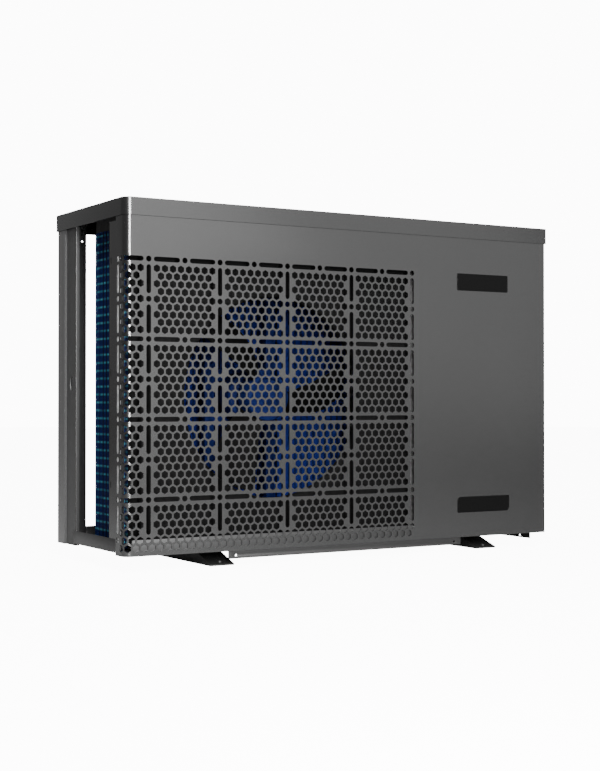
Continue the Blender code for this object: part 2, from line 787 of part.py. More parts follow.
def refrigerant_circuit():
    valve_x, valve_y, valve_z = 0.790, 0.285, 0.400
    body = rod(0.013, -0.045, 0.045, "x", 12, centre=(valve_x, valve_y, valve_z))
    piece("four_way_valve", body, "brass")
    piece("expansion_valve", rod(0.014, 0.105, 0.150, steps=12, centre=(0.700, 0.262, 0)), "brass")
    cx, cy = COMPRESSOR_AT
    compressor_top = 0.2985 + GAP
    below_valve = valve_z - 0.0135
    above_valve = valve_z + 0.0135
    routes = {
        "discharge_pipe": [
            (cx, cy, compressor_top),
            (cx, cy, 0.440),
            (valve_x, cy, 0.440),
            (valve_x, valve_y, 0.440),
            (valve_x, valve_y, above_valve),
        ],
        "suction_pipe": [
            (0.716, 0.200, 0.2565),
            (0.716, 0.200, 0.350),
            (valve_x, 0.225, 0.350),
            (valve_x, valve_y, 0.350),
            (valve_x, valve_y, below_valve),
        ],
        "exchanger_gas_pipe": [
            (valve_x + 0.026, valve_y, below_valve),
            (valve_x + 0.026, valve_y, 0.360),
            (0.878, 0.300, 0.360),
            (0.878, 0.300, 0.520),
            (0.878, 0.205, 0.520),
            (0.878, 0.205, 0.4905),
        ],
        "coil_gas_pipe": [
            (valve_x - 0.026, valve_y, below_valve),
            (valve_x - 0.026, valve_y, 0.360),
            (0.700, 0.285, 0.360),
            (0.700, 0.281, 0.300),
            (0.6795, 0.281, 0.300),
        ],
        "liquid_pipe": [
            (0.700, 0.262, 0.1047),
            (0.700, 0.262, 0.060),
            (0.770, 0.262, 0.060),
            (0.770, 0.300, 0.075),
            (0.878, 0.300, 0.075),
            (0.878, 0.278, 0.075),
        ],
    }
    for name, route in routes.items():
        pipe(name, route, 0.0048)


def water_union(name, z):
    """A port through the side panel, the union's tail that takes the pipe, and the nut's own axis."""
    port = turned(
        [(0.0205, -0.005), (0.029, -0.005), (0.029, UNION_REACH - 0.032), (0.0205, UNION_REACH - 0.032)],
        "x",
        24,
        closed=True,
    )
    collar = turned([(0.028, GAP), (0.040, GAP), (0.040, 0.006), (0.028, 0.006)], "x", 24, closed=True)
    place = (WIDTH, UNION_Y, z)
    piece(f"water_{name}_port", port, "union_grey", place, fuse=[collar])
    tail_start = UNION_REACH - 0.032 + GAP
    tail = [
        (0.0205, tail_start),
        (0.0290, tail_start),
        (0.0290, tail_start + 0.006),
        (0.0265, tail_start + 0.008),
        (0.0265, UNION_REACH),
        (0.0240, UNION_REACH),
        (0.0240, tail_start + 0.010),
        (0.0205, tail_start + 0.010),
    ]
    piece(f"{name}_union_tail", turned(tail, "x", 24, closed=True), "union_grey", place)
    axis = empty(f"{name}_nut_axis", place, CABINET)
    nut = [
        (0.0294, 0.010),
        (0.037, 0.010),
        (0.039, 0.013),
        (0.039, tail_start + 0.013),
        (0.036, tail_start + 0.015),
        (0.0270, tail_start + 0.015),
        (0.0270, tail_start + 0.0086),
        (0.0294, tail_start + 0.0064),
    ]
    grips = []
    for number in range(8):
        angle = math.radians(45 * number)
        grip = block((0.0135, -0.005, 0.036), (tail_start + 0.0125, 0.005, 0.0425))
        bmesh.ops.rotate(grip, cent=(0, 0, 0), matrix=Matrix.Rotation(angle, 3, "X"), verts=grip.verts)
        grips.append(grip)
    piece(f"{name}_union_nut", turned(nut, "x", 24, closed=True), "black_plastic", parent=axis, fuse=grips)


def electrics():
    """The control box above the compressor, its cover, the inverter's heat sink and the outside fittings."""
    low = (PARTITION_X + 0.003, 0.020, 0.510)
    high = (0.955, 0.170, 0.640)
    inner_low = [value + SHEET for value in low]
    hollow = block(inner_low, (high[0] - SHEET, high[1] - SHEET, 0.700))
    piece("control_box", block(low, high), "zinc", cut=[hollow])
    cover = block((low[0], low[1], high[2] + GAP), (high[0], high[1], high[2] + GAP + SHEET))
    piece("control_box_cover", cover, "zinc")
    sink_low = (PARTITION_X - 0.034, 0.060, 0.525)
    sink_high = (PARTITION_X + 0.0025, 0.130, 0.595)
    slots = []
    for number in range(6):
        y = sink_low[1] + 0.0035 + number * 0.0113
        slots.append(block((sink_low[0] - 0.01, y, 0.51), (PARTITION_X - 0.004, y + 0.0085, 0.61)))
    piece("inverter_heat_sink", block(sink_low, sink_high), "aluminium", cut=slots)
    cover_low = (WIDTH + GAP, 0.040, 0.510)
    cover_high = (WIDTH + 0.018, 0.140, 0.610)
    outline = rounded_box((cover_low[1], cover_low[2]), (cover_high[1], cover_high[2]), (0.006,) * 4)
    piece("terminal_cover", prism(outline, "x", cover_low[0], cover_high[0]), "cabinet_grey")
    gland = [
        (0.0060, -0.012),
        (0.0095, -0.012),
        (0.0095, GAP),
        (0.0150, GAP),
        (0.0150, 0.007),
        (0.0125, 0.009),
        (0.0125, 0.018),
        (0.0090, 0.026),
        (0.0060, 0.026),
    ]
    piece("cable_gland", turned(gland, "x", 12, closed=True), "black_plastic", (WIDTH, 0.090, 0.470))


def drain_spigot():
    top = BASE_BOTTOM - GAP
    profile = [
        (0.0065, 0.0105),
        (0.0085, 0.0105),
        (0.0095, 0.015),
        (0.0085, 0.015),
        (0.0085, top - 0.003),
        (0.0160, top - 0.003),
        (0.0160, top),
        (0.0065, top),
    ]
    piece("drain_spigot", turned(profile, "z", 16, closed=True), "black_plastic", (FAN_X, 0.200, 0))


def plates():
    """A blank name plate at the top right of the front, and a blank label near the bottom."""
    front = -GAP - 0.001
    name_outline = rounded_box((0.7447, 0.5372), (0.8757, 0.5722), (0.0025,) * 4)
    piece("name_plate", prism(name_outline, "y", front, -GAP), "gloss_black")
    label_outline = rounded_box((0.7454, 0.0788), (0.8791, 0.1112), (0, 0.008, 0, 0.008), steps=4)
    piece("label_plate", prism(label_outline, "y", front, -GAP), "gloss_black")


def screw_head(name, place, axis, outward):
    """A washer-faced screw head on the outside of a sheet."""
    profile = [
        (0, GAP),
        (0.0052, GAP),
        (0.0052, 0.0009),
        (0.0038, 0.0012),
        (0.0034, SCREW_HEAD),
        (0, SCREW_HEAD),
    ]
    if outward < 0:
        profile = [(radius, -height) for radius, height in profile]
    piece(name, turned(profile, axis, 10), "zinc", place)


def screws():
    skirt_z = SKIRT_BOTTOM + 0.012
    for number, x in enumerate((0.080, 0.489, 0.898)):
        screw_head(f"lid_screw_rear_{number + 1}", (x, DEPTH + LID_OVERHANG, skirt_z), "y", 1)
    for number, y in enumerate((0.050, 0.276)):
        screw_head(f"lid_screw_right_{number + 1}", (WIDTH + LID_OVERHANG, y, skirt_z), "x", 1)
    for number, z in enumerate((0.085, 0.330, 0.600)):
        screw_head(f"rear_panel_screw_{number + 1}", (0.660, DEPTH, z), "y", 1)


def place_frame():
    """Centres the whole object on the origin, with its unions and rear screws."""
    whole_width = LID_OVERHANG + WIDTH + UNION_REACH
    whole_depth = 2 * LID_OVERHANG + DEPTH + SCREW_HEAD
    return empty("cabinet", (LID_OVERHANG - whole_width / 2, LID_OVERHANG - whole_depth / 2, 0))


clear_scene()
CABINET = place_frame()
lid()
front_panel()
right_side_panel()
rear_panel()
rear_left_post()
rear_top_rail()
base_pan()
foot("left_foot", 0.1820)
foot("right_foot", 0.8065)
front_rail()
right_rail()
mid_partition()
fan_shroud()
motor_bracket()
fan_motor()
fan(empty("fan_axis", (FAN_X, 0, FAN_Z), CABINET))
coil()
compressor()
accumulator()
heat_exchanger()
refrigerant_circuit()
water_union("inlet", INLET_Z)
water_union("outlet", OUTLET_Z)
electrics()
drain_spigot()
plates()
screws()
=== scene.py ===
"""A horizontal pool and spa heat pump, built up from its base tray to its lid."""

import math

import bmesh
import bpy
from mathutils import Matrix, Vector


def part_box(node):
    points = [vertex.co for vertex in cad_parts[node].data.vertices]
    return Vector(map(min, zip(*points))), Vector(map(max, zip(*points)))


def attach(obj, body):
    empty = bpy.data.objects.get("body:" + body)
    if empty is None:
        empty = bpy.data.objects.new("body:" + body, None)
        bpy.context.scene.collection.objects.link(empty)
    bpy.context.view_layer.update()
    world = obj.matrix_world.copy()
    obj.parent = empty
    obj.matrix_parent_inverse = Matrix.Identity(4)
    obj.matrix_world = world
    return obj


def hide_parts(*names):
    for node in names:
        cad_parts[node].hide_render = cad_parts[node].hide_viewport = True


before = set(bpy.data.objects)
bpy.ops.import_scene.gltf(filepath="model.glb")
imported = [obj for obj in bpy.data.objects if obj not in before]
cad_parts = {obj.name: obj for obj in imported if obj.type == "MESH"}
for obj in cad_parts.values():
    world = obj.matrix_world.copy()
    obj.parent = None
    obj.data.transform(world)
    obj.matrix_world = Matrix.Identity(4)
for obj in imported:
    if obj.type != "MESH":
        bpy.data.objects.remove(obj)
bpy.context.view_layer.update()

# Viewpoint
# A long lens in front of the unit and to its left, just below half its height and almost level,
# so that the front is seen whole and the open left end edge on.

camera = bpy.data.objects.new("camera", bpy.data.cameras.new("camera"))
camera.data.lens = 67.28
camera.location = (-1.5744, -2.5449, 0.3108)
camera.rotation_euler = (math.radians(90.58), 0, math.radians(-30.89))
bpy.context.collection.objects.link(camera)
bpy.context.scene.camera = camera

# Base tray
# A folded tray of coated steel that the whole unit is built on. Its walls are 25 mm high, and its
# edges are deburred before coating. Every place is measured from the cabinet's left side (x),
# its front face (y) and the ground (z).

LEFT, FRONT, PANEL_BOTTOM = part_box("front_panel")[0]
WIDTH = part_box("right_side_panel")[1].x - LEFT
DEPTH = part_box("rear_left_post")[1].y - FRONT
PANEL_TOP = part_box("front_panel")[1].z
SHEET = 0.0015


def add(tree, kind, inputs=None, **settings):
    """A shader node. An input is given as a value or as the socket that feeds it."""
    made = tree.nodes.new(f"ShaderNode{kind}")
    for name, value in settings.items():
        setattr(made, name, value)
    for name, value in (inputs or {}).items():
        if isinstance(value, bpy.types.NodeSocket):
            tree.links.new(value, made.inputs[name])
        else:
            made.inputs[name].default_value = value
    return made


def effect(name, inputs, outputs):
    """An empty node group with named inputs and outputs, for an effect that finishes share."""
    group = bpy.data.node_groups.new(name, "ShaderNodeTree")
    for label, value in inputs.items():
        kind = "NodeSocketColor" if isinstance(value, tuple) else "NodeSocketFloat"
        group.interface.new_socket(name=label, in_out="INPUT", socket_type=kind).default_value = value
    for label, kind in outputs.items():
        group.interface.new_socket(name=label, in_out="OUTPUT", socket_type=f"NodeSocket{kind}")
    return group, add(group, "TexCoord").outputs["Object"]


def group_ends(group):
    """The sockets that bring a group's inputs in, and those that take its outputs out."""
    return group.nodes.new("NodeGroupInput").outputs, group.nodes.new("NodeGroupOutput").inputs


def place_effect(tree, group, inputs):
    """A shared effect set in a material, with that material's own values."""
    made = add(tree, "Group", node_tree=group)
    for name, value in inputs.items():
        made.inputs[name].default_value = value
    return made.outputs


def powder_grain():
    """Orange peel, slow drifts of shade and gloss, and the odd speck, as in baked powder."""
    group, place = effect(
        "powder_grain",
        {"Dark": (0, 0, 0, 1), "Light": (1, 1, 1, 1), "Peel": 900.0, "Depth": 0.0001, "Gloss": 0.4},
        {"Color": "Color", "Roughness": "Float", "Normal": "Vector"},
    )
    given, out = group_ends(group)
    drift = add(group, "TexNoise", {"Vector": place, "Scale": 5.0, "Detail": 4.0})
    specks = add(group, "TexNoise", {"Vector": place, "Scale": 1400.0, "Detail": 1.0})
    peel = add(group, "TexNoise", {"Vector": place, "Scale": given["Peel"], "Detail": 2.0})
    spread = add(group, "MapRange", {"Value": drift.outputs["Fac"], "From Min": 0.2, "From Max": 0.8})
    speck = add(group, "MapRange", {"Value": specks.outputs["Fac"], "From Min": 0.3, "From Max": 0.7})
    mixed = add(group, "Math", {0: spread.outputs[0], 1: 0.25}, operation="MULTIPLY")
    weights = {0: speck.outputs[0], 1: 0.55, 2: mixed.outputs[0]}
    shade = add(group, "Math", weights, operation="MULTIPLY_ADD")
    colour = add(group, "MixRGB", {0: shade.outputs[0], 1: given["Dark"], 2: given["Light"]})
    dulling = {0: spread.outputs[0], 1: 0.012, 2: given["Gloss"]}
    gloss = add(group, "Math", dulling, operation="MULTIPLY_ADD")
    bump = add(group, "Bump", {"Height": peel.outputs["Fac"], "Distance": given["Depth"]})
    group.links.new(colour.outputs[0], out["Color"])
    group.links.new(gloss.outputs[0], out["Roughness"])
    group.links.new(bump.outputs["Normal"], out["Normal"])
    return group


POWDER = powder_grain()


def finish(name, slot=None, **inputs):
    """A named finish with a bare Principled shader, for one of the record's material slots."""
    material = bpy.data.materials.new(name)
    material["slot"] = slot or name
    material.use_nodes = True
    shader = material.node_tree.nodes["Principled BSDF"]
    for label, value in inputs.items():
        shader.inputs[label.replace("_", " ")].default_value = value
    return material, material.node_tree, shader


def grey(value):
    return (value, value, value, 1)


def grained(name, dark, light, gloss, peel=900.0, depth=0.0001, slot=None, **inputs):
    """A finish whose colour runs between two shades, with a fine grain in it."""
    material, tree, shader = finish(name, slot, **inputs)
    grain = place_effect(
        tree, POWDER, {"Dark": dark, "Light": light, "Peel": peel, "Depth": depth, "Gloss": gloss}
    )
    tree.links.new(grain["Color"], shader.inputs["Base Color"])
    tree.links.new(grain["Roughness"], shader.inputs["Roughness"])
    tree.links.new(grain["Normal"], shader.inputs["Normal"])
    return material


def piece(name, bm, material, replaces=(), body="cabinet", origin=(LEFT, FRONT, 0), crease=30):
    """Makes a shape into a finished piece that rides on a body."""
    bmesh.ops.remove_doubles(bm, verts=bm.verts, dist=1e-6)
    bmesh.ops.recalc_face_normals(bm, faces=bm.faces)
    bmesh.ops.translate(bm, vec=origin, verts=bm.verts)
    bm.edges.index_update()
    rims = [edge.index for edge in bm.edges if edge.is_boundary]
    mesh = bpy.data.meshes.new(name)
    bm.to_mesh(mesh)
    bm.free()
    mesh.shade_smooth()
    mesh.set_sharp_from_angle(angle=math.radians(crease))
    for number in rims:
        mesh.edges[number].use_edge_sharp = True
    mesh.materials.append(material)
    made = bpy.data.objects.new(name, mesh)
    bpy.context.collection.objects.link(made)
    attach(made, body)
    if replaces:
        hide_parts(*replaces)
    return made


def deburred(node, material, radius=0.0005, segments=2):
    """A CAD piece's own shape, with its sharp edges rounded."""
    bm = bmesh.new()
    bm.from_mesh(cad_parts[node].data)
    bmesh.ops.remove_doubles(bm, verts=bm.verts, dist=2e-6)
    bmesh.ops.dissolve_limit(bm, angle_limit=math.radians(1), verts=bm.verts, edges=bm.edges)
    sharp = [edge for edge in bm.edges if edge.calc_face_angle(0) > math.radians(35)]
    bmesh.ops.bevel(
        bm,
        geom=sharp,
        offset=radius,
        segments=segments,
        profile=0.5,
        affect="EDGES",
        material=-1,
        clamp_overlap=True,
    )
    return piece(f"{node}_finished", bm, material, [node], origin=(0, 0, 0))


BASE_COAT = grained("base_coat", grey(0.085), grey(0.115), 0.40, Metallic=1.0)
deburred("base_pan", BASE_COAT)

# Feet
# Two channels of black coated steel across the underside, bent down to a flat toe at each end. A
# bolt through the hole in a toe holds the unit to its slab or bracket.

BLACK_COAT = grained("black_coat", grey(0.010), grey(0.016), 0.38)
for name in ("left_foot", "right_foot"):
    deburred(name, BLACK_COAT, 0.0007, 3)

# Rails under the tray
# Angles of folded sheet that stiffen the tray between the feet and carry the transport screws. The
# front one has the tray's grey coat, the right one the feet's black.

deburred("front_rail", BASE_COAT, 0.0004)
deburred("right_rail", BLACK_COAT, 0.0004)

# Coil
# Thin aluminium fins with a blue water-shedding coat, pressed on to two layers of tubes and bent round
# the rear-left corner. A cyan line across the fins at each row of tube collars is a painted highlight,
# where the collars catch the light, and the tubes are coloured teal to match it. The left arm is painted
# darker than the rear arm as shade, and near-black painted shade marks the gaps between fins.

COIL_LOW, COIL_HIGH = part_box("coil_fins")
COIL_LEFT = COIL_LOW.x - LEFT
COIL_BACK = COIL_HIGH.y - FRONT
COIL_DEPTH = 0.040
COIL_BEND = 0.119
FIN_PITCH = 0.0025
FIN_THICKNESS = 0.00035
TUBE_PITCH = 0.01515
TUBE_RADIUS = 0.0036
TOP_TUBE = 0.6245
TUBE_ROWS = 38
OUTER_LAYER = 0.0095
INNER_LAYER = 0.0305
TUBE_FACETS = 8
COLLAR_HIGHLIGHT = (0.0028, 0.0010)
FIN_GAP_SHADE = (0.0030, 0.0046)
REAR_ARM = (0.25, 0.33)


def route(corners, radii):
    """A path whose corners are rounded, as straight and curved runs."""
    runs = []
    at = Vector(corners[0])
    total = 0.0
    for number, corner in enumerate(corners[1:]):
        corner = Vector(corner)
        along = (corner - at).normalized()
        last = number == len(corners) - 2
        turn = 0.0 if last else along.angle_signed(Vector(corners[number + 2]) - corner) * -1
        radius = 0.0 if last else radii[number]
        straight = (corner - at).length - radius * math.tan(abs(turn) / 2)
        runs.append({"end": total + straight, "at": at, "along": along, "radius": 0.0})
        total += straight
        at = at + along * straight
        if not last:
            bent = math.copysign(radius, turn)
            total += radius * abs(turn)
            runs.append({"end": total, "at": at, "along": along, "radius": bent})
            at, along = on_run(runs[-1], radius * abs(turn), 0.0)
    return runs


def on_run(run, past, depth):
    """The place at a distance along one run and a depth to its left, and the way it heads."""
    along = run["along"].copy()
    if not run["radius"]:
        return run["at"] + along * past + Vector((-along.y, along.x)) * depth, along
    centre = run["at"] + Vector((-along.y, along.x)) * run["radius"]
    along.rotate(Matrix.Rotation(past / run["radius"], 2))
    return centre + Vector((-along.y, along.x)) * (depth - run["radius"]), along


def on_route(runs, length, depth=0.0):
    """The place and heading at a distance along the whole path, at a depth to its left."""
    start = 0.0
    for run in runs[:-1]:
        if length <= run["end"]:
            return on_run(run, length - start, depth)
        start = run["end"]
    return on_run(runs[-1], length - start, depth)


def ramp(tree, value, ends):
    """0 at the first end and below, 1 at the second, or the other way round."""
    return add(tree, "MapRange", {"Value": value, "From Min": ends[0], "From Max": ends[1]}).outputs[0]


def coil_finish():
    """The left arm is navy, painted darker than the rear arm's plain blue as shade, with a broken cyan
    line at each row of collars that is a painted highlight; near-black painted shade fills the gaps
    between fins where the line breaks.
    """
    material, tree, shader = finish("fin_coating", Metallic=0.35, Roughness=0.36)
    place = add(tree, "TexCoord").outputs["Object"]
    across = add(tree, "SeparateXYZ", {0: add(tree, "UVMap").outputs[0]}).outputs[0]
    up = add(tree, "SeparateXYZ", {0: place}).outputs[2]
    # Painted highlight: a cyan band across the fins at each row of tube collars, broken in patches, for
    # the light the collars catch.
    rows = add(tree, "Math", {0: up, 1: TOP_TUBE + TUBE_PITCH / 2}, operation="SUBTRACT").outputs[0]
    row = add(tree, "Math", {0: rows, 1: TUBE_PITCH}, operation="FLOORED_MODULO").outputs[0]
    off = add(tree, "Math", {0: row, 1: TUBE_PITCH / 2}, operation="SUBTRACT").outputs[0]
    away = add(tree, "Math", {0: off}, operation="ABSOLUTE").outputs[0]
    line = ramp(tree, away, COLLAR_HIGHLIGHT)
    # Painted shade: near-black stripes in the gaps between fins, where the highlight also breaks.
    step = add(tree, "Math", {0: across, 1: TUBE_PITCH}, operation="FLOORED_MODULO").outputs[0]
    dash = ramp(tree, step, FIN_GAP_SHADE)
    cell = add(tree, "TexNoise", {"Vector": place, "Scale": 60.0})
    patch = ramp(tree, cell.outputs["Fac"], (0.25, 0.6))
    shown = add(tree, "Math", {0: line, 1: dash}, operation="MULTIPLY").outputs[0]
    highlight_mask = add(tree, "Math", {0: shown, 1: patch}, operation="MULTIPLY").outputs[0]
    rear = ramp(tree, across, REAR_ARM)
    # Painted shade: the left arm gets a darker navy than the rear arm's blue, though both arms carry one
    # coat.
    blue = add(tree, "MixRGB", {0: rear, 1: (0.007, 0.020, 0.12, 1), 2: (0.022, 0.046, 0.34, 1)})
    ground = add(tree, "MixRGB", {0: dash, 1: (0.002, 0.004, 0.02, 1), 2: blue.outputs[0]})
    highlight_colour = add(tree, "MixRGB", {0: rear, 1: (0.09, 0.36, 0.46, 1), 2: blue.outputs[0]})
    colour = add(tree, "MixRGB", {0: highlight_mask, 1: ground.outputs[0], 2: highlight_colour.outputs[0]})
    tree.links.new(colour.outputs[0], shader.inputs["Base Color"])
    return material


def coil_route(inset):
    """The coil's path in plan, from the front of its left arm to the end of its rear arm."""
    left = COIL_LEFT + inset
    back = COIL_BACK - inset
    start = (left, COIL_LOW.y - FRONT)
    end = (COIL_HIGH.x - LEFT, back)
    return route([start, (left, back), end], [COIL_BEND - inset])


def fins():
    """One thin plate for every step along the coil's middle line."""
    bm = bmesh.new()
    marks = bm.loops.layers.uv.new("along_coil")
    middle = coil_route(COIL_DEPTH / 2)
    bottom, top = COIL_LOW.z, COIL_HIGH.z
    count = int(middle[-1]["end"] / FIN_PITCH)
    for number in range(count):
        length = (number + 0.5) * FIN_PITCH
        place, along = on_route(middle, length)
        size = Matrix.Diagonal((FIN_THICKNESS, COIL_DEPTH, top - bottom, 1))
        turned_to = Matrix.Rotation(math.atan2(along.y, along.x), 4, "Z")
        at = Matrix.Translation((place.x, place.y, (bottom + top) / 2))
        made = bmesh.ops.create_cube(bm, size=1, matrix=at @ turned_to @ size)
        for vert in made["verts"]:
            for loop in vert.link_loops:
                loop[marks].uv = (length, vert.co.z)
    return bm


def tube_rows(inset, first, count):
    """Tubes that follow the coil, one above the other."""
    bm = bmesh.new()
    runs = coil_route(inset)
    bend_steps = 8
    bend_start, bend_end = runs[0]["end"], runs[1]["end"]
    bend = [bend_start + (bend_end - bend_start) * step / bend_steps for step in range(bend_steps + 1)]
    lengths = [0.002, *bend, runs[-1]["end"] + 0.0015]
    upright = Matrix.Rotation(math.radians(90), 4, "Y")
    for row in range(count):
        height = first - row * TUBE_PITCH
        before = None
        for length in lengths:
            place, along = on_route(runs, length)
            heading = Matrix.Rotation(math.atan2(along.y, along.x), 4, "Z")
            at = Matrix.Translation((place.x, place.y, height))
            ring = bmesh.ops.create_circle(
                bm,
                segments=TUBE_FACETS,
                radius=TUBE_RADIUS,
                cap_ends=length == lengths[0],
                matrix=at @ heading @ upright,
            )
            edges = list(dict.fromkeys(edge for vert in ring["verts"] for edge in vert.link_edges))
            if before:
                bmesh.ops.bridge_loops(bm, edges=before + edges)
            before = edges
        bmesh.ops.contextual_create(bm, geom=before)
    return bm


FIN_COATING = coil_finish()
piece("coil_fin_pack", fins(), FIN_COATING, ["coil_fins"])
# The tubes are coloured teal rather than copper, part of the painted highlight of the cyan collar lines.
TUBE_TEAL_HIGHLIGHT = grained(
    "tube_teal_highlight", (0.01, 0.05, 0.12, 1), (0.03, 0.16, 0.24, 1), 0.35, slot="fin_coating"
)
piece("coil_outer_tubes", tube_rows(OUTER_LAYER, TOP_TUBE, TUBE_ROWS), TUBE_TEAL_HIGHLIGHT)
piece("coil_inner_tubes", tube_rows(INNER_LAYER, TOP_TUBE - TUBE_PITCH / 2, TUBE_ROWS), TUBE_TEAL_HIGHLIGHT)

# Coil ends
# A coated sheet and a galvanised strip close the coil's front end, and a galvanised sheet its far
# end, where copper hairpins join the tubes in pairs and a header collects them. Foam seals the
# top and the strip.

HAIRPIN_RADIUS = 0.0032
STRIP_WIDTH = 0.0105
STRIP_THICKNESS = 0.0012


def zinc_finish():
    """Hot-dip zinc: pale crystals of differing gloss."""
    material, tree, shader = finish("galvanised", Metallic=0.85)
    place = add(tree, "TexCoord").outputs["Object"]
    crystals = add(tree, "TexVoronoi", {"Vector": place, "Scale": 140.0, "Randomness": 1.0})
    level = add(tree, "SeparateXYZ", {0: crystals.outputs["Color"]}).outputs[0]
    shade = add(tree, "MixRGB", {0: level, 1: grey(0.36), 2: grey(0.52)})
    gloss = add(tree, "MapRange", {"Value": level, "To Min": 0.30, "To Max": 0.48})
    tree.links.new(shade.outputs[0], shader.inputs["Base Color"])
    tree.links.new(gloss.outputs[0], shader.inputs["Roughness"])
    return material


def metal_finish(name, dark, light, gloss, scale):
    """Bare metal with drawing marks and patches of dulling."""
    material, tree, shader = finish(name, Metallic=1.0)
    place = add(tree, "TexCoord").outputs["Object"]
    patches = add(tree, "TexNoise", {"Vector": place, "Scale": scale, "Detail": 5.0})
    spread = ramp(tree, patches.outputs["Fac"], (0.35, 0.65))
    shade = add(tree, "MixRGB", {0: spread, 1: dark, 2: light})
    dull = add(tree, "MapRange", {"Value": spread, "To Min": gloss + 0.12, "To Max": gloss})
    marks = add(tree, "TexNoise", {"Vector": place, "Scale": scale * 40, "Detail": 2.0})
    bump = add(tree, "Bump", {"Height": marks.outputs["Fac"], "Distance": 0.00004})
    tree.links.new(shade.outputs[0], shader.inputs["Base Color"])
    tree.links.new(dull.outputs[0], shader.inputs["Roughness"])
    tree.links.new(bump.outputs["Normal"], shader.inputs["Normal"])
    return material


def recoat(material, *nodes):
    """Gives CAD pieces whose shape stays their proper finish."""
    for name in nodes:
        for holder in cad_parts[name].material_slots:
            holder.material = material


ZINC = zinc_finish()
COPPER = metal_finish("copper", (0.42, 0.15, 0.08, 1), (0.72, 0.32, 0.18, 1), 0.26, 30.0)
FOAM = grained("foam", grey(0.008), grey(0.02), 0.9, peel=500.0, depth=0.0006)


def turned(profile, axis="z", steps=48, closed=False, centre=(0, 0, 0)):
    """A profile of (radius, height) points turned on a lathe, then laid along an axis."""
    bm = bmesh.new()
    verts = [bm.verts.new((radius, 0, height)) for radius, height in profile]
    pairs = list(zip(verts, verts[1:]))
    if closed:
        pairs.append((verts[-1], verts[0]))
    edges = [bm.edges.new(pair) for pair in pairs]
    bmesh.ops.spin(
        bm,
        geom=verts + edges,
        cent=(0, 0, 0),
        axis=(0, 0, 1),
        angle=2 * math.pi,
        steps=steps,
        use_merge=True,
    )
    bmesh.ops.remove_doubles(bm, verts=bm.verts, dist=1e-6)
    quarter = math.radians(90)
    turn = {
        "x": Matrix.Rotation(quarter, 4, "Y"),
        "y": Matrix.Rotation(-quarter, 4, "X"),
        "z": Matrix(),
    }
    bmesh.ops.transform(bm, matrix=Matrix.Translation(centre) @ turn[axis], verts=bm.verts)
    return bm


def hairpins():
    """Half rings that join each tube to the one below it, in both layers."""
    bm = bmesh.new()
    sheet_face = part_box("coil_rear_tube_sheet")[1].x - LEFT
    upright = Matrix.Rotation(math.radians(90), 3, "Y")
    for inset, first in ((OUTER_LAYER, TOP_TUBE), (INNER_LAYER, TOP_TUBE - TUBE_PITCH / 2)):
        for pair in range(TUBE_ROWS // 2):
            top = first - 2 * pair * TUBE_PITCH
            middle = Vector((sheet_face + 0.002, COIL_BACK - inset, top - TUBE_PITCH / 2))
            ring = bmesh.ops.create_circle(
                bm, segments=TUBE_FACETS, radius=HAIRPIN_RADIUS, cap_ends=True
            )
            bmesh.ops.rotate(bm, verts=ring["verts"], cent=(0, 0, 0), matrix=upright)
            bmesh.ops.translate(bm, verts=ring["verts"], vec=middle + Vector((0, 0, TUBE_PITCH / 2)))
            face = ring["verts"][0].link_faces[0]
            bmesh.ops.spin(
                bm,
                geom=[face],
                cent=middle,
                axis=(0, 1, 0),
                angle=math.pi,
                steps=6,
                use_duplicate=False,
            )
    return bm


DULL_BLACK = grained(
    "dull_black", grey(0.003), grey(0.006), 0.7, slot="black_coat", Specular_IOR_Level=0.03
)
deburred("coil_front_tube_sheet", DULL_BLACK, 0.0003)
deburred("coil_rear_tube_sheet", ZINC, 0.0003)
piece("coil_hairpins", hairpins(), COPPER)
recoat(COPPER, "coil_header")


def closing_strip():
    """A strip that fills the gap between the side return and the coil, with a bead of foam."""
    low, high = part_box("coil_front_tube_sheet")
    strip = bmesh.new()
    bmesh.ops.create_cube(strip, size=1)
    bmesh.ops.scale(strip, vec=(STRIP_WIDTH, STRIP_THICKNESS, high.z - low.z), verts=strip.verts)
    bmesh.ops.bevel(
        strip, geom=strip.edges[:], offset=0.0003, segments=1, profile=0.5, affect="EDGES", material=-1
    )
    middle = (0.0020 + STRIP_WIDTH / 2, high.y - FRONT, (low.z + high.z) / 2)
    bmesh.ops.translate(strip, vec=middle, verts=strip.verts)
    bottom, top = low.z + 0.001, high.z - 0.001
    profile = [(0, bottom), (0.0030, bottom + 0.001), (0.0030, top - 0.001), (0, top)]
    bead = turned(profile, steps=12)
    bmesh.ops.scale(bead, vec=(1.1, 0.6, 1), verts=bead.verts)
    bmesh.ops.translate(bead, vec=(0.0161, middle[1], 0), verts=bead.verts)
    return strip, bead


strip, bead = closing_strip()
piece("closing_strip", strip, ZINC)
piece("closing_strip_bead", bead, FOAM)
recoat(FOAM, "coil_top_seal")

# Fan motor and its ladder
# A sealed motor can on a ladder of folded sheet between the tray and the top. Four bolts hold the
# can's front, and can and ladder have one navy coat.

FAN_CENTRE = (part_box("fan_motor")[0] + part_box("fan_motor")[1]) / 2
FAN_X = FAN_CENTRE.x - LEFT
FAN_Z = FAN_CENTRE.z
MOTOR_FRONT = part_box("fan_motor")[0].y - FRONT
MOTOR_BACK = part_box("fan_motor")[1].y - FRONT
SHAFT_BORE = 0.0063
BOLT_CIRCLE = 0.036


def joined(*shapes):
    """Several shapes as one piece."""
    whole = bmesh.new()
    for shape in shapes:
        mesh = bpy.data.meshes.new("part")
        shape.to_mesh(mesh)
        shape.free()
        whole.from_mesh(mesh)
        bpy.data.meshes.remove(mesh)
    return whole


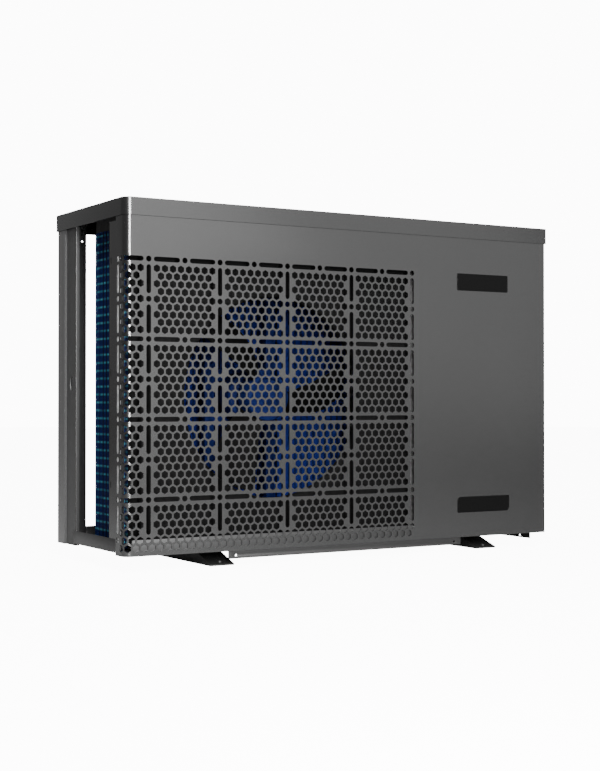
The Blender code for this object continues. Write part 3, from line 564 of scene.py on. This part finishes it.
def motor():
    """The can and its nose, with a blind bore for the shaft."""
    can = 0.052
    nose = 0.019
    profile = [
        (0, MOTOR_FRONT + 0.030),
        (SHAFT_BORE, MOTOR_FRONT + 0.030),
        (SHAFT_BORE, MOTOR_FRONT),
        (nose - 0.001, MOTOR_FRONT),
        (nose, MOTOR_FRONT + 0.001),
        (nose, MOTOR_FRONT + 0.008),
        (can - 0.008, MOTOR_FRONT + 0.010),
        (can - 0.003, MOTOR_FRONT + 0.012),
        (can, MOTOR_FRONT + 0.016),
        (can, MOTOR_FRONT + 0.029),
        (can - 0.0012, MOTOR_FRONT + 0.030),
        (can - 0.0012, MOTOR_FRONT + 0.032),
        (can, MOTOR_FRONT + 0.033),
        (can, MOTOR_BACK - 0.006),
        (can - 0.002, MOTOR_BACK - 0.002),
        (can - 0.006, MOTOR_BACK),
        (0, MOTOR_BACK),
    ]
    return turned(profile, "y", centre=(FAN_X, 0, FAN_Z))


def ring_points(centre, radius, steps, start=0.0):
    """Evenly spaced places on a circle, from a first angle in degrees."""
    points = []
    for step in range(steps):
        angle = math.radians(start) + 2 * math.pi * step / steps
        points.append((centre[0] + radius * math.cos(angle), centre[1] + radius * math.sin(angle)))
    return points


def motor_bolts():
    """Four hexagon heads on the front of the can."""
    profile = [(0, -0.003), (0.0032, -0.003), (0.0038, -0.0024), (0.0038, 0.0012), (0, 0.0012)]
    heads = []
    for x, z in ring_points((FAN_X, FAN_Z), BOLT_CIRCLE, 4, 45):
        heads.append(turned(profile, "y", 6, centre=(x, MOTOR_FRONT + 0.0075, z)))
    return joined(*heads)


MOTOR_COAT = grained(
    "motor_coat",
    (0.004, 0.008, 0.05, 1),
    (0.006, 0.012, 0.07, 1),
    0.5,
    slot="black_coat",
    Specular_IOR_Level=0.05,
)
piece("fan_motor_finished", motor(), MOTOR_COAT, ["fan_motor"])
piece("motor_bolts", motor_bolts(), ZINC, crease=20)
deburred("motor_bracket", MOTOR_COAT, 0.0006)

# Impeller
# Three swept blades moulded in one with their hub from black glass-filled nylon. The hub has the
# motor's navy coat, and a nut holds it on the shaft.

HUB_RADIUS = 0.046
HUB_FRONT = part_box("fan_impeller")[0].y - FRONT
FAN_RADIUS = 0.1855
BLADE_ANGLES = (116, -4, 236)
BLADE_MIDDLE = 0.0872
BLADE_RISE = 0.038
BLADE_CAMBER = 0.006
BLADE_THICKNESS = 0.0020


def blade_point(angle, along, out):
    """A point of a blade's middle surface: along its chord and out from the hub, both 0 to 1."""
    radius = HUB_RADIUS - 0.003 + (FAN_RADIUS - HUB_RADIUS + 0.003) * out
    tip = 1 - 0.16 * out**6
    chord = math.radians(46 - 22 * out) * tip
    sweep = math.radians(20 * out - 6)
    turn = math.radians(angle) + sweep + chord * (along - 0.5)
    depth = BLADE_MIDDLE - BLADE_RISE * (along - 0.5) - BLADE_CAMBER * math.sin(math.pi * along)
    return Vector((radius * math.cos(turn), depth, radius * math.sin(turn)))


def blades():
    """Each blade is a grid laid over its middle surface, then thickened."""
    bm = bmesh.new()
    for angle in BLADE_ANGLES:
        grid = bmesh.ops.create_grid(bm, x_segments=16, y_segments=14, size=0.5)
        for vert in grid["verts"]:
            vert.co = blade_point(angle, vert.co.x + 0.5, vert.co.y + 0.5)
    bmesh.ops.recalc_face_normals(bm, faces=bm.faces)
    bmesh.ops.solidify(bm, geom=bm.faces[:], thickness=BLADE_THICKNESS)
    return bm


def hub():
    """A dished cup with a boss for the shaft, its depths measured from the front rim."""
    profile = [
        (SHAFT_BORE, 0.006),
        (0.012, 0.006),
        (0.0135, 0.0075),
        (0.020, 0.0078),
        (0.036, 0.006),
        (0.0378, 0.004),
        (0.0390, 0.0003),
        (0.0415, 0.0003),
        (0.0446, 0.0014),
        (HUB_RADIUS, 0.004),
        (HUB_RADIUS, 0.040),
        (HUB_RADIUS - 0.003, 0.040),
        (HUB_RADIUS - 0.003, 0.010),
        (0.016, 0.010),
        (0.016, 0.034),
        (SHAFT_BORE, 0.034),
    ]
    return turned([(radius, HUB_FRONT + depth) for radius, depth in profile], "y", 64, closed=True)


NYLON = grained(
    "black_plastic", grey(0.002), grey(0.004), 0.55, 1500.0, 0.00005, Specular_IOR_Level=0.04
)
impeller = joined(hub(), blades())
fan_at = (LEFT + FAN_X, FRONT, FAN_Z)
fan = piece("fan_impeller_finished", impeller, NYLON, ["fan_impeller"], "fan", fan_at)
fan.data.materials.append(MOTOR_COAT)
for face in fan.data.polygons:
    if math.hypot(face.center.x - LEFT - FAN_X, face.center.z - FAN_Z) < HUB_RADIUS + 0.0002:
        face.material_index = 1
recoat(MOTOR_COAT, "fan_shaft", "fan_nut")

# Fan shroud
# A dull black coated steel plate behind the grille, pressed from one sheet. Its opening is rolled
# back into a ring round the blade tips.

ORIFICE_RADIUS = 0.195
ROLL_RADIUS = 0.008
RING_DEPTH = 0.0138
SHROUD_SHEET = 0.0012
SHROUD_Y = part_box("fan_shroud")[0].y - FRONT


def plate_loop(bm, points, depth):
    """A closed loop of edges in an upright plane."""
    verts = [bm.verts.new((a, depth, b)) for a, b in points]
    return [bm.edges.new(pair) for pair in zip(verts, verts[1:] + verts[:1])]


def shroud():
    """A flat sheet with a round opening, its rim drawn back in a quarter circle and a wall."""
    low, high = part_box("fan_shroud")
    steps = 96
    bm = bmesh.new()
    corners = [
        (low.x - LEFT, low.z),
        (high.x - LEFT, low.z),
        (high.x - LEFT, high.z),
        (low.x - LEFT, high.z),
    ]
    outer = plate_loop(bm, corners, SHROUD_Y)
    rim = plate_loop(bm, ring_points((FAN_X, FAN_Z), ORIFICE_RADIUS + ROLL_RADIUS, steps), SHROUD_Y)
    bmesh.ops.triangle_fill(bm, edges=outer + rim, use_beauty=True)
    section = []
    for angle in (22.5, 45, 67.5, 90):
        bend = math.radians(angle)
        section.append((ROLL_RADIUS * (1 - math.sin(bend)), ROLL_RADIUS * (1 - math.cos(bend))))
    section.append((0.0, RING_DEPTH))
    for out, back in section:
        grown = bmesh.ops.extrude_edge_only(bm, edges=rim)
        verts = [item for item in grown["geom"] if isinstance(item, bmesh.types.BMVert)]
        for vert in verts:
            across = Vector((vert.co.x - FAN_X, 0, vert.co.z - FAN_Z)).normalized()
            vert.co = Vector((FAN_X, SHROUD_Y + back, FAN_Z)) + across * (ORIFICE_RADIUS + out)
        edges = [item for item in grown["geom"] if isinstance(item, bmesh.types.BMEdge)]
        rim = [edge for edge in edges if edge.is_boundary]
    return bm


def thicken(shape, thickness):
    """Gives an open surface the thickness of its sheet, behind its outer face."""
    wall = shape.modifiers.new("sheet", "SOLIDIFY")
    wall.thickness = thickness
    wall.offset = -1


SHROUD_COAT = grained("shroud_coat", grey(0.006), grey(0.010), 0.7, Specular_IOR_Level=0.03)
shroud_plate = piece("fan_shroud_finished", shroud(), SHROUD_COAT, ["fan_shroud"])
thicken(shroud_plate, SHROUD_SHEET)

# Compressor compartment
# A galvanised partition, a scroll compressor on rubber feet, its accumulator, valves and copper
# lines, and the plastic vessel whose titanium coil heats the pool's water.

VESSEL = grained(
    "vessel_plastic", grey(0.012), grey(0.022), 0.45, 300.0, 0.0002, slot="black_plastic"
)
RUBBER = grained("rubber", grey(0.010), grey(0.018), 0.75, peel=700.0)
BRASS = metal_finish("brass", (0.42, 0.28, 0.10, 1), (0.66, 0.47, 0.2, 1), 0.28, 40.0)
deburred("mid_partition", ZINC, 0.0003)
recoat(MOTOR_COAT, "compressor", "accumulator")
recoat(RUBBER, "compressor_mount_1", "compressor_mount_2", "compressor_mount_3")
recoat(BRASS, "four_way_valve", "expansion_valve")
recoat(COPPER, "discharge_pipe", "suction_pipe", "exchanger_gas_pipe", "coil_gas_pipe", "liquid_pipe")
recoat(VESSEL, "heat_exchanger")

# Control box
# A galvanised box above the compressor. The inverter's finned heat sink reaches through the
# partition into the fan's air.

ALUMINIUM = metal_finish("aluminium", grey(0.5), grey(0.66), 0.3, 25.0)
deburred("control_box", ZINC, 0.0004)
deburred("control_box_cover", ZINC, 0.0004)
deburred("inverter_heat_sink", ALUMINIUM, 0.0004)

# Front panel
# One sheet from the left return, round the corner, across the front and round to the right. It is
# punched flat, then folded: hexagons in squares nine pitches wide, with slots and round holes
# along the lines between the squares.

CORNER_RADIUS = 0.0142
PITCH = 0.0162
CELL = 9 * PITCH
HALF_CELL = CELL / 2
ROW_PITCH = CELL / 10.4
GRILLE_X = 0.0472
GRILLE_Z = PANEL_BOTTOM + 3.696 * CELL
COLUMNS = 4
ROWS = 3
HEXAGON = 0.77 * PITCH / 2 / math.cos(math.radians(30))
HOLE = 0.67 * PITCH / 2
SLOT_WIDTH = 0.55 * PITCH
SLOT_START = 0.615 * PITCH
SKIRT_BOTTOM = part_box("lid")[0].z
RETURN_STEP = 0.0402
RETURN_END = 0.069
RETURN_SLOTS = (0.566, 0.361, 0.156)
FLANGE = 0.015
CABINET_COAT = grained("cabinet_coat", grey(0.105), grey(0.130), 0.22, Metallic=1.0)


def folded_sheet(runs, outline, holes, arc_steps=8):
    """Fills a flat outline round its holes, folds it along a path and gives it its thickness."""
    bm = bmesh.new()
    for loop in (outline, *holes):
        plate_loop(bm, loop, 0.0)
    bmesh.ops.triangle_fill(bm, edges=bm.edges[:], use_beauty=True)
    start = 0.0
    for run in runs:
        for step in range(arc_steps + 1 if run["radius"] else 0):
            at = (start + (run["end"] - start) * step / arc_steps, 0, 0)
            geometry = bm.verts[:] + bm.edges[:] + bm.faces[:]
            bmesh.ops.bisect_plane(bm, geom=geometry, plane_co=at, plane_no=(1, 0, 0), dist=1e-6)
        start = run["end"]
    bmesh.ops.recalc_face_normals(bm, faces=bm.faces)
    grown = bmesh.ops.extrude_face_region(bm, geom=bm.faces[:], use_keep_orig=True)
    for item in grown["geom"]:
        if isinstance(item, bmesh.types.BMVert):
            item.co.y = SHEET
    for vert in bm.verts:
        place, _ = on_route(runs, vert.co.x, vert.co.y)
        vert.co = (place.x, place.y, vert.co.z)
    return bm


def slot_points(low, high):
    """A slot with round ends."""
    across = high[0] - low[0] > high[1] - low[1]
    radius = min(high[0] - low[0], high[1] - low[1]) / 2
    ends = [(high[0] - radius, high[1] - radius), (low[0] + radius, low[1] + radius)]
    points = []
    for number, end in enumerate(ends):
        first = (-90 if across else 0) + 180 * number
        for step in range(5):
            angle = math.radians(first + 45 * step)
            points.append((end[0] + radius * math.cos(angle), end[1] + radius * math.sin(angle)))
    return points


def grid_line_holes(columns):
    """The slots and round holes along the lines between the squares."""
    holes = []
    half = SLOT_WIDTH / 2
    for row in range(ROWS + 1):
        z = GRILLE_Z - row * CELL
        for number in range(2 * COLUMNS + 2):
            x = columns[0] + number * HALF_CELL
            holes.append(ring_points((x, z), HOLE, 12))
            if number <= 2 * COLUMNS:
                right = x + HALF_CELL - SLOT_START
                holes.append(slot_points((x + SLOT_START, z - half), (right, z + half)))
    for x in columns:
        for number in range(2 * ROWS + 1):
            z = GRILLE_Z - number * HALF_CELL
            bottom = z - HALF_CELL + SLOT_START
            holes.append(slot_points((x - half, bottom), (x + half, z - SLOT_START)))
            if number % 2 == 0:
                holes.append(ring_points((x, z - HALF_CELL), HOLE, 12))
    return holes


def square_holes(left, wide):
    """The rows of hexagons below each line, in a column of squares, alternately full and short."""
    holes = []
    for square in range(ROWS + 1):
        for row in range(9 if square < ROWS else 5):
            z = GRILLE_Z - square * CELL - (1.2 + row) * ROW_PITCH
            if wide:
                places = [1 + n for n in range(8)] if row % 2 == 0 else [1.5 + n for n in range(7)]
            else:
                places = [1.5, 2.5, 3.5] if row % 2 == 0 else [1, 2, 3]
            for place in places:
                holes.append(ring_points((left + place * PITCH, z), HEXAGON, 6, 90))
    return holes


def grille():
    """Every opening of the lattice, the row of hexagons in front of the tray's wall included."""
    columns = [GRILLE_X - HALF_CELL] + [GRILLE_X + number * CELL for number in range(COLUMNS + 1)]
    holes = grid_line_holes(columns) + square_holes(columns[0], False)
    for left in columns[1:-1]:
        holes += square_holes(left, True)
    z = GRILLE_Z - (ROWS * 10.4 + 6.2) * ROW_PITCH
    for number in range(-4, 36):
        holes.append(ring_points((GRILLE_X + (number + 0.5) * PITCH, z), HEXAGON, 6, 90))
    return holes


def front_panel():
    """The flat sheet's outline, notched at the left return for the tray and the lid, then folded."""
    runs = route([(0, RETURN_END), (0, 0), (WIDTH, 0), (WIDTH, FLANGE)], [CORNER_RADIUS, 0.002])
    front = RETURN_END + CORNER_RADIUS * (math.pi / 2 - 2)
    step = RETURN_END - RETURN_STEP
    end = runs[-1]["end"]
    base_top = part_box("base_pan")[1].z + 0.0003
    notch = SKIRT_BOTTOM - 0.0075
    outline = [
        (0, base_top),
        (step, base_top),
        (step, PANEL_BOTTOM),
        (end, PANEL_BOTTOM),
        (end, PANEL_TOP),
        (step, PANEL_TOP),
        (step, notch),
        (0, notch),
    ]
    holes = [[(front + x, z) for x, z in hole] for hole in grille()]
    for z in RETURN_SLOTS:
        holes.append(slot_points((0.0055, z - 0.006), (0.0085, z + 0.006)))
    return folded_sheet(runs, outline, holes)


piece("front_panel_punched", front_panel(), CABINET_COAT, ["front_panel"])

# Corner post
# A folded post at the rear left that carries the lid. A recessed strip holds a slot for the hand. The
# strip has a darker copy of the post's coat, painted shade in the recess, and the faces inside the
# cabinet and the hem are black, also as painted shade.


REAR_FLANGE = 0.060
SIDE_FACE_FRONT = 0.2896
RECESS_FRONT = 0.2420
RECESS_BACK = 0.2860
RECESS_DEPTH = 0.004
HEM = 0.008
HAND_SLOT = (0.0105, 0.015)
HAND_SLOT_Z = GRILLE_Z - 1.545 * CELL


def corner_post():
    """The post's section is one folded path, from the rear flange round to the hem inside."""
    corners = [
        (REAR_FLANGE, DEPTH),
        (0, DEPTH),
        (0, SIDE_FACE_FRONT),
        (RECESS_DEPTH, RECESS_BACK),
        (RECESS_DEPTH, RECESS_FRONT),
        (RECESS_DEPTH + HEM, RECESS_FRONT),
    ]
    runs = route(corners, [0.0022, 0.001, 0.001, 0.0017])
    low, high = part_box("rear_left_post")
    end = runs[-1]["end"]
    middle = end - HEM - 0.0175
    half, tall = HAND_SLOT
    holes = [
        slot_points((middle - half, HAND_SLOT_Z - tall), (middle + half, HAND_SLOT_Z + tall)),
        ring_points((0.0086, 0.6295), 0.0019, 16),
    ]
    outline = [(0, low.z), (end, low.z), (end, high.z), (0, high.z)]
    return folded_sheet(runs, outline, holes, arc_steps=5)


POST_COAT = grained("post_coat", grey(0.25), grey(0.33), 0.42, slot="cabinet_coat", Metallic=1.0)
# Painted shade: a darker copy of the post's coat, with a coarser grain, for the recessed strip.
RECESS_SHADE_COAT = grained(
    "recess_painted_shade", grey(0.10), grey(0.20), 0.5, 500.0, 0.0004, "cabinet_coat", Metallic=1.0
)
post = piece("corner_post", corner_post(), POST_COAT, ["rear_left_post"])
post.data.materials.append(RECESS_SHADE_COAT)
post.data.materials.append(BLACK_COAT)
# Painted shade: the faces inside the cabinet and the hem take the black coat, and the recessed strip
# takes the darker copy of the coat.
for face in post.data.polygons:
    across, back = face.center.x - LEFT, face.center.y - FRONT
    if back < RECESS_FRONT + 0.002:
        face.material_index = 2
    elif across < 0.013 and back < SIDE_FACE_FRONT - 0.0002:
        face.material_index = 1
    elif across > RECESS_DEPTH and back < DEPTH - 0.0002:
        face.material_index = 2
deburred("rear_top_rail", BLACK_COAT, 0.0004)

# Rear panel and right side
# The rear panel closes the compressor's side and wraps round the corner. Its louvres are pressed
# outwards. The right side is a flat sheet with holes for the water unions and the supply cable.

LOUVRE_LOW = (0.730, 0.200)
LOUVRE_SIZE = (0.160, 0.007)
LOUVRE_STEP = 0.022
LOUVRES = 8
REAR_BEND = 0.0022


def rear_panel():
    """Its louvres' slots are placed along the flat sheet, from the flange at the right corner."""
    near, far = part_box("rear_panel")
    corners = [(WIDTH, DEPTH - FLANGE), (WIDTH, DEPTH), (near.x - LEFT, DEPTH)]
    runs = route(corners, [REAR_BEND])
    end = runs[-1]["end"]
    width, height = LOUVRE_SIZE
    right = FLANGE + REAR_BEND * (math.pi / 2 - 2) + WIDTH - LOUVRE_LOW[0]
    holes = []
    for row in range(LOUVRES):
        z = LOUVRE_LOW[1] + row * LOUVRE_STEP
        holes.append([(right - width, z), (right, z), (right, z + height), (right - width, z + height)])
    return folded_sheet(runs, [(0, near.z), (end, near.z), (end, far.z), (0, far.z)], holes)


def louvre_hoods():
    """Pressed hoods, open below, that stand 3.5 mm out over each slot."""
    bm = bmesh.new()
    width, height = LOUVRE_SIZE
    for row in range(LOUVRES):
        z = LOUVRE_LOW[1] + row * LOUVRE_STEP
        grid = bmesh.ops.create_grid(bm, x_segments=16, y_segments=6, size=0.5)
        for vert in grid["verts"]:
            across, up = vert.co.x + 0.5, vert.co.y + 0.5
            side = min(1.0, min(across, 1 - across) * 12)
            bulge = math.sin(math.radians(90) * side) * math.cos(math.radians(90) * up)
            depth = DEPTH - 0.0004 + 0.0036 * bulge
            vert.co = (LOUVRE_LOW[0] + across * width, depth, z + up * (height + 0.004))
    bmesh.ops.recalc_face_normals(bm, faces=bm.faces)
    bmesh.ops.solidify(bm, geom=bm.faces[:], thickness=0.0006)
    return bm


piece("rear_panel_folded", rear_panel(), CABINET_COAT, ["rear_panel"])
piece("rear_louvres", louvre_hoods(), CABINET_COAT)
deburred("right_side_panel", CABINET_COAT, 0.0004)

# Water unions
# A moulded port through the side for each water line, a tail for the pool's pipe, and a ribbed
# nut that draws the two together and turns by hand.

UNION_Y = 0.205
WATERWAY = 0.0205
PORT_RADIUS = 0.029
TAIL_RADIUS = 0.0265
SOCKET_RADIUS = 0.0240
GRIPS = 8
UNION_GREY = grained("grey_plastic", grey(0.045), grey(0.062), 0.4, peel=1300.0, depth=0.00005)
NUT_BLACK = grained(
    "nut_plastic", grey(0.008), grey(0.014), 0.36, 1300.0, 0.00005, slot="black_plastic"
)


def union_nut():
    """The nut's turned body with eight moulded grips."""
    tail = 0.0263
    profile = [
        (0.0294, 0.010),
        (0.0360, 0.010),
        (0.0372, 0.0108),
        (0.0388, 0.0128),
        (0.0390, 0.0140),
        (0.0390, tail + 0.012),
        (0.0384, tail + 0.0136),
        (0.0362, tail + 0.015),
        (0.0270, tail + 0.015),
        (0.0270, tail + 0.0086),
        (0.0294, tail + 0.0064),
    ]
    body = turned(profile, "x", 64, closed=True)
    grips = []
    for number in range(GRIPS):
        grip = bmesh.new()
        bmesh.ops.create_cube(grip, size=1)
        bmesh.ops.scale(grip, vec=(tail - 0.001, 0.010, 0.0064), verts=grip.verts)
        bmesh.ops.bevel(
            grip, geom=grip.edges[:], offset=0.0016, segments=3, profile=0.5, affect="EDGES", material=-1
        )
        bmesh.ops.translate(grip, vec=(0.0135 + (tail - 0.001) / 2, 0, 0.0393), verts=grip.verts)
        turn = Matrix.Rotation(math.radians(360 / GRIPS * number), 3, "X")
        bmesh.ops.rotate(grip, cent=(0, 0, 0), matrix=turn, verts=grip.verts)
        grips.append(grip)
    return joined(body, *grips)


for line in ("inlet", "outlet"):
    port_low, port_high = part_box(f"water_{line}_port")
    height = (port_low.z + port_high.z) / 2
    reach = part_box(f"{line}_union_tail")[1].x - LEFT - WIDTH
    port = [
        (WATERWAY, -0.005),
        (0.0285, -0.005),
        (PORT_RADIUS, -0.0045),
        (PORT_RADIUS, 0.0003),
        (0.0395, 0.0003),
        (0.040, 0.0008),
        (0.040, 0.0045),
        (0.0385, 0.006),
        (0.0305, 0.006),
        (PORT_RADIUS, 0.0075),
        (PORT_RADIUS, reach - 0.032),
        (WATERWAY, reach - 0.032),
    ]
    tail_start = reach - 0.0317
    tail = [
        (WATERWAY, tail_start),
        (PORT_RADIUS, tail_start),
        (PORT_RADIUS, tail_start + 0.006),
        (TAIL_RADIUS, tail_start + 0.008),
        (TAIL_RADIUS, reach - 0.001),
        (0.0258, reach),
        (0.0246, reach),
        (SOCKET_RADIUS, reach - 0.0008),
        (SOCKET_RADIUS, tail_start + 0.010),
        (WATERWAY, tail_start + 0.010),
    ]
    at = (LEFT + WIDTH, FRONT + UNION_Y, height)
    port_shape = turned(port, "x", 64, closed=True)
    tail_shape = turned(tail, "x", 64, closed=True)
    piece(f"{line}_port_moulded", port_shape, UNION_GREY, [f"water_{line}_port"], origin=at)
    piece(f"{line}_tail_moulded", tail_shape, UNION_GREY, [f"{line}_union_tail"], origin=at)
    piece(f"{line}_nut_moulded", union_nut(), NUT_BLACK, [f"{line}_union_nut"], f"{line}_nut", at)

# Supply terminals
# A coated cover over the terminals, and a nylon cable gland below it that is still empty. The
# drain spigot under the tray is moulded from the same nylon.


def cable_gland():
    """The gland's body and its dome nut, turned in one."""
    body = [
        (0.0060, -0.012),
        (0.0095, -0.012),
        (0.0095, 0.0003),
        (0.0142, 0.0003),
        (0.0150, 0.0010),
        (0.0150, 0.0062),
        (0.0142, 0.0070),
        (0.0128, 0.0074),
        (0.0125, 0.009),
        (0.0125, 0.018),
        (0.0112, 0.022),
        (0.0090, 0.0255),
        (0.0082, 0.026),
        (0.0060, 0.026),
    ]
    return turned(body, "x", 24, closed=True)


deburred("terminal_cover", CABINET_COAT, 0.0022, 4)
gland_at = (LEFT + WIDTH, FRONT + 0.090, 0.470)
piece("cable_gland_moulded", cable_gland(), NYLON, ["cable_gland"], origin=gland_at)
recoat(NYLON, "drain_spigot")

# Lid
# A tray of the same sheet, turned over. Its skirt overlaps the panels, its front-left corner is
# rounded with them, and the other three corners are welded and ground.


def lid():
    """The top's outline with its skirt drawn down, and the edges between them rolled."""
    low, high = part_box("lid")
    left, right = low.x - LEFT, high.x - LEFT
    front, back = low.y - FRONT, high.y - FRONT
    radius = CORNER_RADIUS - left
    bm = bmesh.new()
    arc_steps = 12
    points = []
    for step in range(arc_steps + 1):
        angle = math.radians(180 + 90 * step / arc_steps)
        across, along = radius * (1 + math.cos(angle)), radius * (1 + math.sin(angle))
        points.append((left + across, front + along))
    points += [(right, front), (right, back), (left, back)]
    top = bm.faces.new([bm.verts.new((x, y, high.z)) for x, y in points])
    grown = bmesh.ops.extrude_edge_only(bm, edges=top.edges[:])
    verts = [item for item in grown["geom"] if isinstance(item, bmesh.types.BMVert)]
    bmesh.ops.translate(bm, vec=(0, 0, low.z - high.z), verts=verts)
    inner = [edge for edge in bm.edges if not edge.is_boundary]
    sharp = [edge for edge in inner if edge.calc_face_angle(0) > math.radians(40)]
    bmesh.ops.bevel(bm, geom=sharp, offset=0.0016, segments=4, profile=0.5, affect="EDGES", material=-1)
    return bm


lid_tray = piece("lid_folded", lid(), CABINET_COAT, ["lid"], crease=15)
thicken(lid_tray, SHEET)

# Blank plates
# A glossy black name plate at the top right and a label plate at the bottom, each with a fine
# raised rim. Both are left blank.


def plate(node, radii, rim=0.0011):
    """A plate with four corner radii, its face sunk a little inside a rim."""
    low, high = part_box(node)
    corners = [(low.x, low.z), (high.x, low.z), (high.x, high.z), (low.x, high.z)]
    inward = [(1, 1), (-1, 1), (-1, -1), (1, -1)]
    points = []
    for number, (corner, side, radius) in enumerate(zip(corners, inward, radii)):
        for step in range(7):
            angle = math.radians(180 + 90 * number + 15 * step)
            centre = (corner[0] + side[0] * radius, corner[1] + side[1] * radius)
            points.append((centre[0] + radius * math.cos(angle), centre[1] + radius * math.sin(angle)))
    bm = bmesh.new()
    face = bm.faces.new([bm.verts.new((x, high.y, z)) for x, z in points])
    if face.normal.y > 0:
        face.normal_flip()
    grown = bmesh.ops.extrude_face_region(bm, geom=[face], use_keep_orig=True)
    verts = [item for item in grown["geom"] if isinstance(item, bmesh.types.BMVert)]
    bmesh.ops.translate(bm, vec=(0, low.y - high.y, 0), verts=verts)
    front = [item for item in grown["geom"] if isinstance(item, bmesh.types.BMFace)]
    bmesh.ops.inset_region(bm, faces=front, thickness=rim, depth=0.0)
    bmesh.ops.inset_region(bm, faces=front, thickness=0.0003, depth=-0.0003)
    return bm


GLOSS_BLACK = grained(
    "plate_black", grey(0.002), grey(0.003), 0.3, 200.0, 0.00001, Specular_IOR_Level=0.1
)
name = plate("name_plate", (0.0025, 0.0025, 0.0025, 0.0025))
label = plate("label_plate", (0.002, 0.008, 0.002, 0.008))
piece("name_plate_blank", name, GLOSS_BLACK, ["name_plate"], origin=(0, 0, 0))
piece("label_plate_blank", label, GLOSS_BLACK, ["label_plate"], origin=(0, 0, 0))

# Screws
# Zinc-plated self-tapping screws with hexagon heads and a flange, round the lid's skirt and down
# the rear panel.

HEAD = 0.0022
SUNK = 0.0003
STEEL = metal_finish("steel", grey(0.38), grey(0.55), 0.24, 60.0)


def screw_head(axis):
    """A flange with a hexagon on it, pointing out from the sheet along an axis."""
    flange = [(0, SUNK), (0.0052, SUNK), (0.0052, 0.0006), (0.0040, 0.0010), (0, 0.0010)]
    hexagon = [
        (0, 0.0008),
        (0.0034, 0.0008),
        (0.0034, HEAD - 0.0003),
        (0.0030, HEAD),
        (0.0016, HEAD),
        (0.0012, HEAD - 0.0006),
        (0, HEAD - 0.0006),
    ]
    return joined(turned(flange, axis, 24), turned(hexagon, axis, 6))


for node in sorted(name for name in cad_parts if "screw" in name):
    low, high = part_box(node)
    middle = (low + high) / 2
    on_side = high.x - low.x < high.y - low.y
    at = (low.x - SUNK, middle.y, middle.z) if on_side else (middle.x, low.y - SUNK, middle.z)
    piece(f"{node}_plated", screw_head("x" if on_side else "y"), STEEL, [node], origin=at, crease=20)

# Studio
# A pale floor under a white surround. A tall narrow softbox picks out the rounded corner, four
# more light the front and the left side, and a broad one lights the top.

FLOOR_RADIUS = 14
FLOOR_DROP = 0.0002
FLOOR_GLOW = 11.0
SURROUND_GLOW = 12.0
SURROUND_LIGHT = 0.24

floor_shape = bmesh.new()
bmesh.ops.create_circle(floor_shape, cap_ends=True, radius=FLOOR_RADIUS, segments=96)
floor_mesh = bpy.data.meshes.new("floor")
floor_shape.to_mesh(floor_mesh)
floor_shape.free()
floor = bpy.data.objects.new("floor", floor_mesh)
floor.location.z = -FLOOR_DROP
bpy.context.collection.objects.link(floor)
floor_white, floor_tree, floor_shader = finish("floor_white", Roughness=0.8)
floor_shader.inputs["Base Color"].default_value = grey(0.36)
floor_shader.inputs["Emission Color"].default_value = grey(1.0)
direct = add(floor_tree, "LightPath").outputs["Is Camera Ray"]
glow = add(floor_tree, "Math", {0: direct, 1: FLOOR_GLOW}, operation="MULTIPLY").outputs[0]
floor_tree.links.new(glow, floor_shader.inputs["Emission Strength"])
floor_mesh.materials.append(floor_white)

world = bpy.data.worlds.new("studio")
world.use_nodes = True
bpy.context.scene.world = world
sky = world.node_tree
cast = sky.nodes["Background"]
cast.inputs["Color"].default_value = grey(1.0)
cast.inputs["Strength"].default_value = SURROUND_LIGHT
shown = add(sky, "Background", {"Color": grey(1.0), "Strength": SURROUND_GLOW})
seen = add(sky, "LightPath").outputs["Is Camera Ray"]
mixed = add(sky, "MixShader", {0: seen, 1: cast.outputs[0], 2: shown.outputs[0]})
sky.links.new(mixed.outputs[0], sky.nodes["World Output"].inputs["Surface"])


def softbox(name, place, target, size, power):
    """A rectangular light turned to face a target, in metres and watts."""
    light = bpy.data.lights.new(name, "AREA")
    light.shape = "RECTANGLE"
    light.size, light.size_y = size
    light.energy = power
    lamp = bpy.data.objects.new(name, light)
    lamp.location = place
    lamp.rotation_euler = (Vector(target) - Vector(place)).to_track_quat("-Z", "Y").to_euler()
    lamp.visible_camera = False
    bpy.context.collection.objects.link(lamp)


softbox("edge", (-0.88, -2.0, 1.2), (-0.6, 0, 1.2), (0.22, 2.0), 150)
softbox("near", (-1.45, -2.35, 1.1), (-0.5, 0, 0.6), (0.5, 1.6), 2.2)
softbox("centre", (0.55, -2.6, 1.25), (-0.2, 0, 0.6), (1.0, 2.4), 6.3)
softbox("right", (1.5, -2.7, 1.4), (0.2, 0, 0.6), (3.4, 2.7), 25)
softbox("high", (-0.9, -1.3, 1.9), (-0.2, 0, 0.4), (0.9, 0.7), 40)
softbox("top", (0.2, 0.5, 2.8), (0.1, 0.3, 0), (3.0, 3.0), 75)
